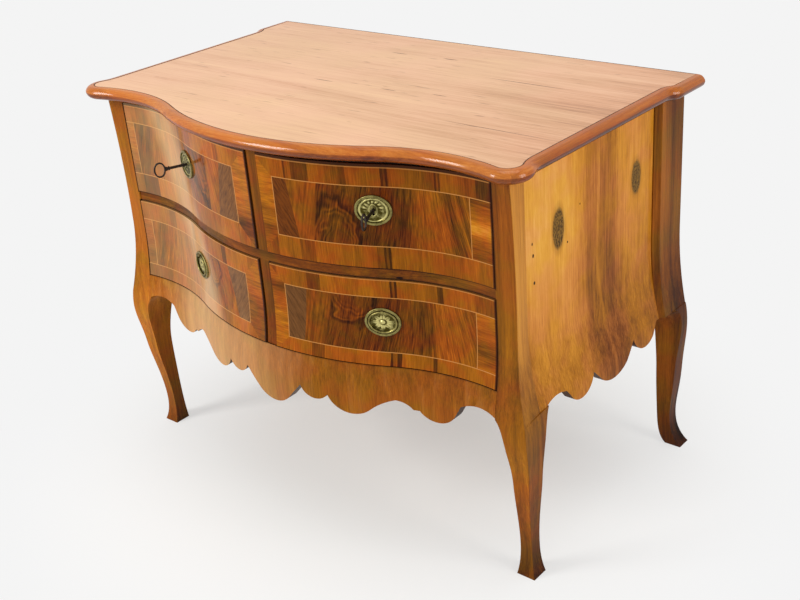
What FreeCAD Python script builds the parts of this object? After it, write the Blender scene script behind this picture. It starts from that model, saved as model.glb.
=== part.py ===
import FreeCAD, Part
import math
import os
import Sketcher
from FreeCAD import Placement, Rotation, Vector

# Bombe chest with a serpentine front: two upper and two lower drawers on a mid rail, four cabriole
# legs that run up as corner posts, scalloped apron and side skirts, moulded top.
# Millimetres, +Z up, front towards -Y, origin on the floor under the middle of the bounding box.
# The right half (+X) is drawn; paired pieces on the left are its mirror images.

doc = FreeCAD.newDocument("BombeChest")

# ---------------------------------------------------------------- driving dimensions
SIZES = {
    # heights
    "top_z": 820.0, "top_thick": 24.0, "rail_top_z": 785.0, "mid_rail_z": 568.5, "mid_rail_high": 20.0,
    "apron_top_z": 396.0, "shoulder_z": 345.0, "scallop_low_z": 277.0,
    # front plan: a convex centre between two hollows, tangent to each other
    "front_y": -319.5, "convex_radius": 601.0, "hollow_radius": 404.0, "hollow_x": 418.0,
    # bombe profile of the front, and the bolder one of the posts' corner arrises
    "belly_z": 315.0, "belly_out": 18.0, "belly_radius": 300.0, "waist_z": 500.0, "lean_out": 2.0,
    "arris_set_back": 2.5, "arris_belly_out": 21.0, "arris_belly_radius": 300.0, "arris_waist_z": 550.0,
    "arris_lean_out": 12.0,
    # flare of the sides and the corner arrises
    "flare_z": 303.0, "flare_out": 25.8, "flare_radius": 220.0, "flare_waist_z": 510.0,
    # carcass
    "post_inner": 465.0, "arris": 505.5, "side_outer": 497.5, "side_thick": 20.0, "rear_arris": 510.5,
    "post_back": -188.0, "rear_post_front": 237.0, "case_back": 330.0, "foot_back": 356.0,
    "back_thick": 12.0, "partition_thick": 20.0, "stile_wide": 26.0, "rail_deep": 58.0,
    "rail_recess": 3.0, "apron_thick": 24.0, "bottom_thick": 12.0,
    # top board and its thumb moulding
    "nose_y": -356.0, "nose_radius": 596.0, "bay_radius": 328.0, "bay_x": 400.0, "ear_radius": 43.0,
    "ear_turn_x": 492.0, "neck_radius": 60.0, "top_side": 538.0, "top_rear_side": 551.0,
    "rear_step_y": 215.0, "rear_step_long": 36.0, "top_back": 332.0, "moulding_wide": 18.0,
    "board_sunk": 0.4,
    # drawers
    "reveal": 1.5, "drawer_thick": 22.0, "drawer_side_thick": 12.0, "drawer_side_x": 461.0,
    "drawer_inner_x": 15.5, "drawer_back": 300.0, "drawer_bottom_thick": 8.0, "drawer_lift": 0.5,
    "groove_up": 9.0, "groove_deep": 5.0,
    "lower_side_high": 146.0, "upper_side_high": 170.0,
    # brass plates, keys, locks and ring pulls
    "plate_x": 241.0, "upper_plate_z": 700.0, "lower_plate_z": 484.0, "plate_wide": 69.0,
    "plate_high": 56.0, "plate_thick": 1.4, "rim_wide": 4.5, "rim_high": 3.4,
    "key_shaft": 5.5, "key_out": 45.0, "key_bow_high": 31.0, "key_bow_long": 24.0,
    "lock_wide": 54.0, "lock_deep": 16.0, "lock_inlet": 9.0,
    "ring_wide": 52.0, "ring_high": 40.0, "ring_wire": 3.6,
}
sheet = doc.addObject("Spreadsheet::Sheet", "Sizes")
for row, (alias, value) in enumerate(SIZES.items(), start=1):
    sheet.set("A%d" % row, alias)
    sheet.set("B%d" % row, str(value))
    sheet.setAlias("B%d" % row, alias)
doc.recompute()
size = type("Size", (), SIZES)


def cell(name):
    """The expression that reads one driving dimension."""
    return "Sizes." + name


# ---------------------------------------------------------------- the two curves that shape the front
class Bombe:
    """A profile of three tangent arcs (belly, waist and lean) that stands forward (-Y) of its waist."""

    def __init__(self, belly_out, belly_radius, waist_z, lean_out):
        rise = waist_z - size.belly_z
        turn = 2 * math.atan(belly_out / rise)
        self.belly_out = belly_out
        self.belly_radius = belly_radius
        self.waist_z = waist_z
        self.waist_radius = rise / math.sin(turn) - belly_radius
        self.bend_z = size.belly_z + belly_radius * math.sin(turn)
        self.lean_radius = ((size.top_z - waist_z) ** 2 + lean_out ** 2) / (2 * lean_out)

    def at(self, z):
        """How far the profile lies behind (+) or before (-) its waist at height z."""
        if z < self.bend_z:
            above = z - size.belly_z
            return self.belly_radius - self.belly_out - math.sqrt(self.belly_radius ** 2 - above ** 2)
        radius = self.waist_radius if z < self.waist_z else self.lean_radius
        return math.sqrt(radius ** 2 - (z - self.waist_z) ** 2) - radius


front_bombe = Bombe(size.belly_out, size.belly_radius, size.waist_z, size.lean_out)
arris_bombe = Bombe(size.arris_belly_out, size.arris_belly_radius, size.arris_waist_z, size.arris_lean_out)


FLARE_TURN = 2 * math.atan(size.flare_out / (size.flare_waist_z - size.flare_z))
FLARE_WAIST_RADIUS = (size.flare_waist_z - size.flare_z) / math.sin(FLARE_TURN) - size.flare_radius
FLARE_BEND_Z = size.flare_z + size.flare_radius * math.sin(FLARE_TURN)


def flare(z):
    """How far the sides stand outwards at height z, measured from their straight upper part."""
    if z >= size.flare_waist_z:
        return 0.0
    if z >= FLARE_BEND_Z:
        return FLARE_WAIST_RADIUS - math.sqrt(FLARE_WAIST_RADIUS ** 2 - (size.flare_waist_z - z) ** 2)
    return size.flare_out - size.flare_radius + math.sqrt(size.flare_radius ** 2 - (z - size.flare_z) ** 2)


PLAN_TURN = math.asin(size.hollow_x / (size.convex_radius + size.hollow_radius))
CONVEX_Y = size.front_y + size.convex_radius
HOLLOW_Y = CONVEX_Y - (size.convex_radius + size.hollow_radius) * math.cos(PLAN_TURN)


def plan_y(x, depth=0.0):
    """Y of the front's plan curve at x, or of its parallel curve a given depth behind it."""
    convex = size.convex_radius - depth
    hollow = size.hollow_radius + depth
    if abs(x) <= convex * math.sin(PLAN_TURN):
        return CONVEX_Y - math.sqrt(convex ** 2 - x * x)
    return HOLLOW_Y + math.sqrt(hollow ** 2 - (abs(x) - size.hollow_x) ** 2)


# ---------------------------------------------------------------- sketch and body helpers
def origin_plane(body, role):
    return next(f for f in body.Origin.OriginFeatures if f.Role == role)


def new_sketch(body, name, role, base=Vector(0, 0, 0)):
    """A sketch on one of the body's origin planes, moved by base in the plane's own axes."""
    sketch = body.newObject("Sketcher::SketchObject", name)
    sketch.AttachmentSupport = [(origin_plane(body, role), "")]
    sketch.MapMode = "FlatFace"
    sketch.AttachmentOffset = Placement(base, Rotation())
    return sketch


def draw(sketch, segments):
    """Adds a chain of ("line", p, q) and ("arc", p, middle, q) segments and joins their ends."""
    for kind, *points in segments:
        corners = [Vector(u, v, 0) for u, v in points]
        sketch.addGeometry(Part.LineSegment(*corners) if kind == "line" else Part.Arc(*corners))
    count = sketch.GeometryCount
    for here in range(count):
        after = (here + 1) % count
        for end in (1, 2):
            for start in (1, 2):
                gap = sketch.getPoint(here, end).distanceToPoint(sketch.getPoint(after, start))
                if gap < 1e-6 and (count > 2 or here < after):
                    sketch.addConstraint(Sketcher.Constraint("Coincident", here, end, after, start))


def polygon(points):
    """Line segments round a closed polygon."""
    return [("line", points[i], points[(i + 1) % len(points)]) for i in range(len(points))]


def bind_point(sketch, edge, x_text, y_text):
    """Holds an edge's first point at the place that two expressions give."""
    point = sketch.getPoint(edge, 1)
    for kind, value, text in (("DistanceX", point.x, x_text), ("DistanceY", point.y, y_text)):
        if text:
            index = sketch.addConstraint(Sketcher.Constraint(kind, -1, 1, edge, 1, value))
            sketch.setExpression("Constraints[%d]" % index, text)


def bind_radius(sketch, edge, radius, text):
    index = sketch.addConstraint(Sketcher.Constraint("Radius", edge, radius))
    sketch.setExpression("Constraints[%d]" % index, text)


def pad(body, sketch, length, text=None, backwards=False):
    feature = body.newObject("PartDesign::Pad", "Pad")
    feature.Profile = sketch
    feature.Length = length
    feature.Reversed = backwards
    if text:
        feature.setExpression("Length", text)
    return feature


def box(name, low, high, texts=None):
    """A Part::Box between two corners; texts binds any of its properties to the sheet."""
    made = doc.addObject("Part::Box", name)
    made.Length, made.Width, made.Height = [b - a for a, b in zip(low, high)]
    made.Placement = Placement(Vector(*low), Rotation())
    for prop, text in (texts or {}).items():
        made.setExpression(prop, text)
    return made


def boolean(kind, name, base, tool):
    """A Part::Cut or Part::Common of two objects."""
    made = doc.addObject("Part::" + kind, name)
    made.Base = base
    made.Tool = tool
    return made


def fuse(name, shapes):
    made = doc.addObject("Part::MultiFuse", name)
    made.Shapes = shapes
    return made


def mirror(name, source):
    """The left-hand twin of a right-hand piece."""
    made = doc.addObject("Part::Mirroring", name)
    made.Source = source
    made.Normal = Vector(1, 0, 0)
    return made


nodes = {}


def keep(name, piece):
    """Registers a finished sub-part; its label is its node's name."""
    piece.Label = name
    nodes[name] = piece
    return piece


def keep_pair(name, piece):
    """Registers a right-hand piece and its mirrored left-hand twin."""
    keep(name + "_right", piece)
    keep(name + "_left", mirror(name + "_left", piece))


# ---------------------------------------------------------------- the front's swept forms
FORM_LOW = 265.0
FORM_HIGH = 800.0
FORM_HALF = 490.0
FORM_BACK = 340.0
OUTSIDE = 400.0


def bombe_spine(body):
    """The bombe profile in the YZ plane: belly, waist and lean as three tangent arcs."""
    spine = new_sketch(body, "bombe_profile", "YZ_Plane")
    stations = [FORM_LOW, front_bombe.bend_z, size.waist_z, FORM_HIGH]
    for low, high in zip(stations, stations[1:]):
        middle = (low + high) / 2
        spine.addGeometry(Part.Arc(*[Vector(front_bombe.at(z), z, 0) for z in (low, middle, high)]))
    for edge in (0, 1):
        spine.addConstraint(Sketcher.Constraint("Coincident", edge, spine_end(spine, edge, 1),
                                                edge + 1, spine_end(spine, edge + 1, 0)))
    return spine


def spine_end(spine, edge, upper):
    """Which end (1 or 2) of a spine arc is its lower (0) or upper (1) one."""
    first_is_low = spine.getPoint(edge, 1).y < spine.getPoint(edge, 2).y
    return (1 if first_is_low else 2) if not upper else (2 if first_is_low else 1)


def behind_front(name, depth_text, depth):
    """The solid behind the front's face at a depth: its serpentine plan swept up the bombe profile."""
    body = doc.addObject("PartDesign::Body", name)
    plan = new_sketch(body, "plan", "XY_Plane", Vector(0, front_bombe.at(FORM_LOW), FORM_LOW))
    bend_x = (size.convex_radius - depth) * math.sin(PLAN_TURN)
    bend = (bend_x, plan_y(bend_x, depth))
    end = (FORM_HALF, plan_y(FORM_HALF, depth))
    bay = (size.hollow_x, plan_y(size.hollow_x, depth))

    def left(point):
        return (-point[0], point[1])

    draw(plan, [
        ("arc", left(bend), (0, plan_y(0, depth)), bend),
        ("arc", bend, bay, end),
        ("line", end, (FORM_HALF, FORM_BACK)),
        ("line", (FORM_HALF, FORM_BACK), (-FORM_HALF, FORM_BACK)),
        ("line", (-FORM_HALF, FORM_BACK), left(end)),
        ("arc", left(end), left(bay), left(bend)),
    ])
    bind_radius(plan, 0, size.convex_radius - depth, "%s - (%s)" % (cell("convex_radius"), depth_text))
    for edge in (1, 5):
        bind_radius(plan, edge, size.hollow_radius + depth, "%s + %s" % (cell("hollow_radius"), depth_text))
    spine = bombe_spine(body)
    doc.recompute()
    sweep = body.newObject("PartDesign::AdditivePipe", "sweep")
    sweep.Profile = plan
    sweep.Spine = spine
    sweep.Mode = "Fixed"
    return body


face_form = behind_front("face_form", "0", 0.0)
recess_form = behind_front("recess_form", cell("rail_recess"), size.rail_recess)
drawer_form = behind_front("drawer_form", cell("drawer_thick"), size.drawer_thick)
apron_form = behind_front("apron_form", cell("apron_thick"), size.apron_thick)
frame_depth = size.rail_recess + size.rail_deep
inner_form = behind_front("inner_form", cell("rail_recess") + " + " + cell("rail_deep"), frame_depth)
drawer_band = boolean("Cut", "drawer_band", face_form, drawer_form)
apron_band = boolean("Cut", "apron_band", face_form, apron_form)
rail_band = boolean("Cut", "rail_band", recess_form, inner_form)

# ---------------------------------------------------------------- top board and thumb moulding
NOSE_Y = size.nose_y + size.nose_radius
NOSE_TURN = math.asin(size.bay_x / (size.nose_radius + size.bay_radius))
BAY_Y = NOSE_Y - (size.nose_radius + size.bay_radius) * math.cos(NOSE_TURN)
EAR_ANGLE = math.asin((size.ear_turn_x - size.bay_x) / size.bay_radius)
EAR = (size.bay_x + (size.bay_radius + size.ear_radius) * math.sin(EAR_ANGLE),
       BAY_Y + (size.bay_radius + size.ear_radius) * math.cos(EAR_ANGLE))
NECK_COS = (size.top_side + size.neck_radius - EAR[0]) / (size.ear_radius + size.neck_radius)
NECK_ANGLE = math.acos(NECK_COS)
NECK = (size.top_side + size.neck_radius,
        EAR[1] + (size.ear_radius + size.neck_radius) * math.sin(NECK_ANGLE))
STEP_WIDE = size.top_rear_side - size.top_side
STEP_TURN = 2 * math.atan(STEP_WIDE / size.rear_step_long)
STEP_RADIUS = size.rear_step_long / (2 * math.sin(STEP_TURN))
MITRE_ANGLE = math.radians(-50)


def round_point(centre, radius, angle):
    return (centre[0] + radius * math.cos(angle), centre[1] + radius * math.sin(angle))


def arc_about(centre, radius, start, end):
    """An arc segment about a centre from one angle to another."""
    return ("arc", round_point(centre, radius, start), round_point(centre, radius, (start + end) / 2),
            round_point(centre, radius, end))


def top_front_edge(inset):
    """Right half of the front edge from the middle to the mitre on the ear, inset from the nose."""
    half_pi = math.pi / 2
    nose = arc_about((0, NOSE_Y), size.nose_radius - inset, -half_pi, -half_pi + NOSE_TURN)
    bay = arc_about((size.bay_x, BAY_Y), size.bay_radius + inset, half_pi + NOSE_TURN, half_pi - EAR_ANGLE)
    ear = arc_about(EAR, size.ear_radius - inset, -half_pi - EAR_ANGLE, MITRE_ANGLE)
    return [nose, bay, ear]


def top_side_edge(inset):
    """Right side edge from the mitre on the ear to the back corner, inset from the nose."""
    ear = arc_about(EAR, size.ear_radius - inset, MITRE_ANGLE, NECK_ANGLE)
    neck = arc_about(NECK, size.neck_radius + inset, math.pi + NECK_ANGLE, math.pi)
    side = size.top_side - inset
    step_end = size.rear_step_y + size.rear_step_long
    out_centre = (size.top_side + STEP_RADIUS, size.rear_step_y)
    in_centre = (size.top_rear_side - STEP_RADIUS, step_end)
    hollow = arc_about(out_centre, STEP_RADIUS + inset, math.pi, math.pi - STEP_TURN)
    swell = arc_about(in_centre, STEP_RADIUS - inset, -STEP_TURN, 0)
    return [ear, neck, ("line", (side, NECK[1]), (side, size.rear_step_y)), hollow, swell,
            ("line", (size.top_rear_side - inset, step_end), (size.top_rear_side - inset, size.top_back))]


def flipped(segments):
    """The segments mirrored to the left side and run the other way round."""
    return [(kind, *[(-u, v) for u, v in reversed(points)]) for kind, *points in reversed(segments)]


def make_top_board():
    inset = size.moulding_wide
    edge = top_front_edge(inset) + top_side_edge(inset)
    corner = edge[-1][-1]
    body = doc.addObject("PartDesign::Body", "top_board")
    outline = new_sketch(body, "outline", "XY_Plane", Vector(0, 0, size.top_z - size.board_sunk))
    outline.setExpression("AttachmentOffset.Base.z", cell("top_z") + " - " + cell("board_sunk"))
    draw(outline, edge + [("line", corner, (-corner[0], corner[1]))] + flipped(edge))
    pad(body, outline, size.top_thick - size.board_sunk, cell("top_thick") + " - " + cell("board_sunk"),
        backwards=True)
    return body


THUMB = 11.0
THUMB_DROP = 0.6
NOSE_DROP = 11.0
UNDERCUT = 10.0
HOLLOW_POINT = (3.2, 4.6)
NOSE_POINT = (4.6, 3.6)


def thumb_profile(sketch):
    """Section of the moulding: a long thumb on top and a round nose that turns back under it."""
    wide = size.moulding_wide
    deep = size.top_thick
    draw(sketch, [
        ("line", (0, 0), (0, -deep)),
        ("line", (0, -deep), (wide - UNDERCUT, -deep)),
        ("arc", (wide - UNDERCUT, -deep), (wide - HOLLOW_POINT[0], HOLLOW_POINT[1] - deep),
         (wide, -NOSE_DROP)),
        ("arc", (wide, -NOSE_DROP), (wide - NOSE_POINT[0], -NOSE_POINT[1]), (wide - THUMB, -THUMB_DROP)),
        ("line", (wide - THUMB, -THUMB_DROP), (0, 0)),
    ])


def make_moulding(name, path, start, heading):
    """A length of moulding: the thumb profile swept along the edge of the top board."""
    body = doc.addObject("PartDesign::Body", name)
    spine = new_sketch(body, "edge", "XY_Plane", Vector(0, 0, size.top_z))
    spine.setExpression("AttachmentOffset.Base.z", cell("top_z"))
    for kind, *points in path:
        corners = [Vector(u, v, 0) for u, v in points]
        spine.addGeometry(Part.LineSegment(*corners) if kind == "line" else Part.Arc(*corners))
    profile = body.newObject("Sketcher::SketchObject", "profile")
    profile.Placement = Placement(Vector(start[0], start[1], size.top_z),
                                  Rotation(Vector(0, 0, 1), heading) * Rotation(Vector(1, 0, 0), 90))
    thumb_profile(profile)
    doc.recompute()
    sweep = body.newObject("PartDesign::AdditivePipe", "sweep")
    sweep.Profile = profile
    sweep.Spine = spine
    return body


keep("top_board", make_top_board())
right_half = top_front_edge(size.moulding_wide)
front_path = flipped(right_half) + right_half
left_start = front_path[0][1]
keep("top_moulding_front", make_moulding("top_moulding_front", front_path, left_start,
                                         180 - math.degrees(MITRE_ANGLE)))
side_path = top_side_edge(size.moulding_wide)
keep_pair("top_moulding", make_moulding("top_moulding_right", side_path, side_path[0][1],
                                        math.degrees(MITRE_ANGLE)))

# ---------------------------------------------------------------- legs
# Each station of a leg: height, outer x, inner x, y of the outer arris, y of the inner front edge,
# back y. Upwards of the knee the arris follows the flare of the sides and its own bombe, and the
# inner edge follows the bombe of the drawers.
TRIM = 3.0
TOP_LEAN = 0.5
REAR_FLARE = 0.8
EASE_LOW = 200.0
LEAST_BEVEL = 0.6
TRIM_LOW = 250.0
CASE_TOP = size.top_z - size.top_thick
SWELL_STATIONS = (345, 400, 455, 510)
POST_STATIONS = (510, 605, 700, 796)


def arris_front(z):
    return plan_y(size.post_inner) + size.arris_set_back + arris_bombe.at(z)


def post_front(z):
    return plan_y(size.post_inner) + front_bombe.at(z)


def front_leg_spans():
    inner = size.post_inner - TRIM
    leg = [
        (0, 523.0, 484.0, -223.5, -223.5, -186.0), (22, 516.5, 486.5, -217.5, -217.5, -187.5),
        (60, 513.4, 488.5, -215.6, -215.6, -189.5), (120, 516.2, 489.5, -221.7, -221.7, -191.5),
        (200, 524.3, 491.0, -235.0, -235.0, -192.5), (260, 529.6, 488.0, -243.0, -243.0, -188.0),
        (300, size.arris + flare(300), 483.0, arris_front(300), arris_front(300), -180.0),
        (326, size.arris + flare(326), 476.0, arris_front(326), arris_front(326), -172.0),
        (345, size.arris + flare(345), inner, arris_front(345), post_front(345), -160.0),
    ]

    def at(z):
        lean = TOP_LEAN * (z - size.flare_waist_z) / (CASE_TOP - size.flare_waist_z)
        outer = size.arris + flare(z) - max(0.0, lean)
        return (z, outer, inner, arris_front(z), post_front(z), size.post_back + TRIM)

    return [leg, [at(z) for z in SWELL_STATIONS], [at(z) for z in POST_STATIONS]]


def rear_leg_spans():
    inner = size.post_inner - TRIM
    leg = [
        (0, 533.0, 497.0, 321.0, 321.0, size.foot_back), (22, 517.0, 484.0, 319.0, 319.0, 351.0),
        (60, 507.5, 478.0, 318.0, 318.0, 346.5), (120, 512.0, 477.0, 314.0, 314.0, 344.0),
        (200, 521.5, 478.0, 308.0, 308.0, 341.0), (260, 528.5, 476.0, 305.0, 305.0, 338.0),
        (300, 531.5, 473.0, 302.0, 302.0, 335.5), (326, 531.0, 469.0, 294.0, 294.0, 333.0),
        (345, 529.0, inner, 262.0, 262.0, size.case_back),
    ]
    front = size.rear_post_front - TRIM

    def at(z):
        outer = size.rear_arris + flare(z) * REAR_FLARE
        return (z, outer, inner, front, front, size.case_back)

    return [leg, [at(z) for z in SWELL_STATIONS], [at(z) for z in POST_STATIONS]]


def add_loft(body, spans_name, stations, taper, bevel):
    """One loft of a leg's body through square sections with a bevelled or tapered outer side."""
    sections = []
    for z, outer, inner, arris, front, back in stations:
        section = new_sketch(body, "%s_%d" % (spans_name, z), "XY_Plane", Vector(0, 0, z))
        ease = min(1.0, max(0.0, (z - EASE_LOW) / (size.shoulder_z - EASE_LOW)))
        cut = LEAST_BEVEL + bevel * ease
        draw(section, polygon([(inner, front), (outer - cut, arris), (outer, arris + cut),
                               (outer - taper * ease, back), (inner, back)]))
        sections.append(section)
    doc.recompute()
    loft = body.newObject("PartDesign::AdditiveLoft", spans_name + "_loft")
    loft.Profile = sections[0]
    loft.Sections = sections[1:]
    doc.recompute()


def make_leg(name, spans, taper, bevel, shoulder_cut):
    """A leg and its corner post: three lofts end to end, trimmed flat where the carcass meets them."""
    body = doc.addObject("PartDesign::Body", name + "_body")
    for spans_name, stations in zip(("leg", "swell", "post"), spans):
        add_loft(body, spans_name, stations, taper, bevel)
    inner_trim = box(name + "_inner_trim", (0, -OUTSIDE, TRIM_LOW), (size.post_inner, OUTSIDE, size.top_z),
                     {"Length": cell("post_inner")})
    trimmed = boolean("Cut", name + "_trimmed", body, inner_trim)
    return boolean("Cut", name, trimmed, shoulder_cut)


behind_post = box("behind_post", (400, size.post_back, size.shoulder_z), (600, 0, size.top_z),
                  {"Placement.Base.y": cell("post_back"), "Placement.Base.z": cell("shoulder_z")})
before_post = box("before_rear_post", (400, 0, size.shoulder_z), (600, size.rear_post_front, size.top_z),
                  {"Width": cell("rear_post_front"), "Placement.Base.z": cell("shoulder_z")})
keep_pair("leg_front", make_leg("leg_front_right", front_leg_spans(), 7.5, 0.0, behind_post))
keep_pair("leg_rear", make_leg("leg_rear_right", rear_leg_spans(), 0.0, 13.0, before_post))

# ---------------------------------------------------------------- side panels with scalloped skirts
SKIRT_CENTRE = 63.0
PRISM_TOP = 900.0
PRISM_X = 440.0
PRISM_LONG = 140.0


def side_profile(sketch):
    """Section of the side panel: upright board whose lower end swells outwards."""
    low = size.scallop_low_z
    high = size.top_z - size.top_thick
    outer = size.side_outer

    def outside(z):
        return (outer + flare(z), z)

    def inside(z):
        return (outer + flare(z) - size.side_thick, z)

    bend = FLARE_BEND_Z
    waist = size.flare_waist_z
    draw(sketch, [
        ("line", inside(high), outside(high)),
        ("line", outside(high), outside(waist)),
        ("arc", outside(waist), outside((waist + bend) / 2), outside(bend)),
        ("arc", outside(bend), outside((bend + low) / 2), outside(low)),
        ("line", outside(low), inside(low)),
        ("arc", inside(low), inside((bend + low) / 2), inside(bend)),
        ("arc", inside(bend), inside((waist + bend) / 2), inside(waist)),
        ("line", inside(waist), inside(high)),
    ])


def skirt_edge():
    """Lower edge of the side skirt, front to rear: arch, lobe, deep centre lobe, lobe, arch."""
    middle = SKIRT_CENTRE
    shoulder = size.shoulder_z

    def half(side):
        def at(along, z):
            return (middle + side * along, z)
        return [
            ("arc", at(-44, 311), at(0, 297), at(44, 311)),
            ("line", at(44, 311), at(73, 342)),
            ("arc", at(73, 342), at(106, 311), at(146, 321)),
            ("line", at(146, 321), at(163, shoulder)),
        ]

    rear = half(1)
    front = flipped_about(half(-1)[1:])
    arch_front = [("line", (size.post_back, shoulder), (size.post_back + 22, shoulder)),
                  ("arc", (size.post_back + 22, shoulder), (-134, 352), (middle - 163, shoulder))]
    arch_rear = [("line", (middle + 163, shoulder), (size.rear_post_front, shoulder))]
    return arch_front + front + rear + arch_rear


def flipped_about(segments):
    """The same segments run the other way round."""
    return [(kind, *reversed(points)) for kind, *points in reversed(segments)]


def make_side_panel():
    body = doc.addObject("PartDesign::Body", "side_board")
    profile = new_sketch(body, "profile", "XZ_Plane", Vector(0, 0, -size.rear_post_front))
    side_profile(profile)
    length = cell("rear_post_front") + " - " + cell("post_back")
    pad(body, profile, size.rear_post_front - size.post_back, length)
    outline = doc.addObject("PartDesign::Body", "skirt_outline")
    sketch = new_sketch(outline, "scallops", "YZ_Plane", Vector(0, 0, PRISM_X))
    front = size.post_back
    rear = size.rear_post_front
    lower = skirt_edge()
    draw(sketch, lower + [("line", (rear, size.shoulder_z), (rear, PRISM_TOP)),
                          ("line", (rear, PRISM_TOP), (front, PRISM_TOP)),
                          ("line", (front, PRISM_TOP), (front, size.shoulder_z))])
    pad(outline, sketch, PRISM_LONG)
    return boolean("Common", "side_panel_right", body, outline)


keep_pair("side_panel", make_side_panel())

# ---------------------------------------------------------------- front frame
def apron_edge():
    """Right half of the apron's lower edge, from the middle of the centre lobe to the leg."""
    return [
        ("arc", (-40, 296), (0, size.scallop_low_z), (40, 296)),
        ("line", (40, 296), (72, 332)),
        ("arc", (72, 332), (102, 310), (132, 324)),
        ("arc", (132, 324), (172, 292), (216, 306)),
        ("arc", (216, 306), (241, 323), (262, 331)),
        ("arc", (262, 331), (280, 326), (294, 315)),
        ("line", (294, 315), (306, 315)),
        ("arc", (306, 315), (345, 297), (376, 318)),
        ("line", (376, 318), (389, 342)),
        ("arc", (389, 342), (425, 353), (size.post_inner, size.shoulder_z)),
    ]


def make_apron():
    outline = doc.addObject("PartDesign::Body", "apron_outline")
    sketch = new_sketch(outline, "scallops", "XZ_Plane")
    edge = apron_edge()
    inner = size.post_inner
    top = size.apron_top_z
    upper = [("line", (inner, size.shoulder_z), (inner, top)), ("line", (inner, top), (-inner, top)),
             ("line", (-inner, top), (-inner, size.shoulder_z))]
    draw(sketch, edge + upper + flipped(edge[1:]))
    pad(outline, sketch, OUTSIDE)
    return boolean("Common", "front_apron", apron_band, outline)


def frame_piece(name, band, low_x, high_x, low_z, high_z, texts=None):
    """A piece of a front band between four limits."""
    window = box(name + "_window", (low_x, -OUTSIDE, low_z), (high_x, FORM_BACK, high_z), texts)
    return boolean("Common", name, band, window)


keep("front_apron", make_apron())
mid_top = size.mid_rail_z + size.mid_rail_high
case_top = size.top_z - size.top_thick
wide = {"Length": "2 * " + cell("post_inner"), "Placement.Base.x": "-" + cell("post_inner")}
keep("front_mid_rail", frame_piece("front_mid_rail", rail_band, -size.post_inner, size.post_inner,
                                   size.mid_rail_z, mid_top,
                                   dict(wide, **{"Height": cell("mid_rail_high"),
                                                 "Placement.Base.z": cell("mid_rail_z")})))
top_rail_blank = frame_piece("top_rail_blank", rail_band, -size.post_inner, size.post_inner,
                             size.rail_top_z, case_top,
                             dict(wide, **{"Placement.Base.z": cell("rail_top_z")}))
half_stile = size.stile_wide / 2
stile = {"Length": cell("stile_wide"), "Placement.Base.x": "-" + cell("stile_wide") + " / 2"}
keep("centre_stile_upper", frame_piece("centre_stile_upper", rail_band, -half_stile, half_stile,
                                       mid_top, size.rail_top_z, stile))
keep("centre_stile_lower", frame_piece("centre_stile_lower", rail_band, -half_stile, half_stile,
                                       size.apron_top_z, size.mid_rail_z, stile))

# ---------------------------------------------------------------- inside of the case
BACK_FRONT = size.case_back - size.back_thick
BACK_RAIL_DEEP = 20.0
STRIP_FRONT = -235.0
half_partition = size.partition_thick / 2
partition_board = box("partition_board", (-half_partition, -OUTSIDE, size.apron_top_z),
                      (half_partition, BACK_FRONT, case_top),
                      {"Length": cell("partition_thick"),
                       "Placement.Base.x": "-" + cell("partition_thick") + " / 2"})
keep("centre_partition", boolean("Common", "centre_partition", partition_board, inner_form))
keep("back_panel", box("back_panel", (-size.post_inner, BACK_FRONT, size.shoulder_z),
                       (size.post_inner, size.case_back, case_top),
                       dict(wide, **{"Width": cell("back_thick")})))
keep("back_rail", box("back_rail", (-size.post_inner, BACK_FRONT - BACK_RAIL_DEEP, size.shoulder_z),
                      (size.post_inner, BACK_FRONT, size.apron_top_z - size.bottom_thick), wide))
bottom_blank = box("bottom_blank", (-size.post_inner, -OUTSIDE, size.apron_top_z - size.bottom_thick),
                   (size.post_inner, BACK_FRONT, size.apron_top_z),
                   dict(wide, **{"Height": cell("bottom_thick")}))
keep("bottom_board", boolean("Common", "bottom_board", bottom_blank, apron_form))

PANEL_INNER = size.side_outer - size.side_thick
RUNNER_FRONT = -155.0
GUIDE_UP = 26.0
RUNNER_WIDE = 32.0


def make_runner():
    """An L-shaped runner: the drawer's side slides on its foot, along the guide beside it."""
    body = doc.addObject("PartDesign::Body", "runner_upper_right")
    section = new_sketch(body, "section", "XZ_Plane", Vector(0, 0, -size.rear_post_front))
    low = size.mid_rail_z
    inside = PANEL_INNER - RUNNER_WIDE
    guide = size.post_inner
    draw(section, polygon([(inside, low), (PANEL_INNER, low), (PANEL_INNER, mid_top + GUIDE_UP),
                           (guide, mid_top + GUIDE_UP), (guide, mid_top), (inside, mid_top)]))
    bind_point(section, 0, None, cell("mid_rail_z"))
    pad(body, section, size.rear_post_front - RUNNER_FRONT)
    return body


keep_pair("runner_upper", make_runner())
keep_pair("guide_lower", box("guide_lower_right", (size.post_inner, size.post_back, size.apron_top_z),
                             (PANEL_INNER, size.rear_post_front, size.apron_top_z + GUIDE_UP),
                             {"Placement.Base.x": cell("post_inner"),
                              "Placement.Base.z": cell("apron_top_z")}))
strip = box("centre_runner_strip", (half_partition, STRIP_FRONT, size.mid_rail_z),
            (RUNNER_WIDE, BACK_FRONT, mid_top),
            {"Height": cell("mid_rail_high"), "Placement.Base.z": cell("mid_rail_z")})
strip_fitted = boolean("Common", "centre_runner_strip_fitted", strip, inner_form)
strip_left = mirror("centre_runner_strip_left", strip_fitted)
keep("centre_runners", fuse("centre_runners", [strip_fitted, strip_left]))

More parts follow.
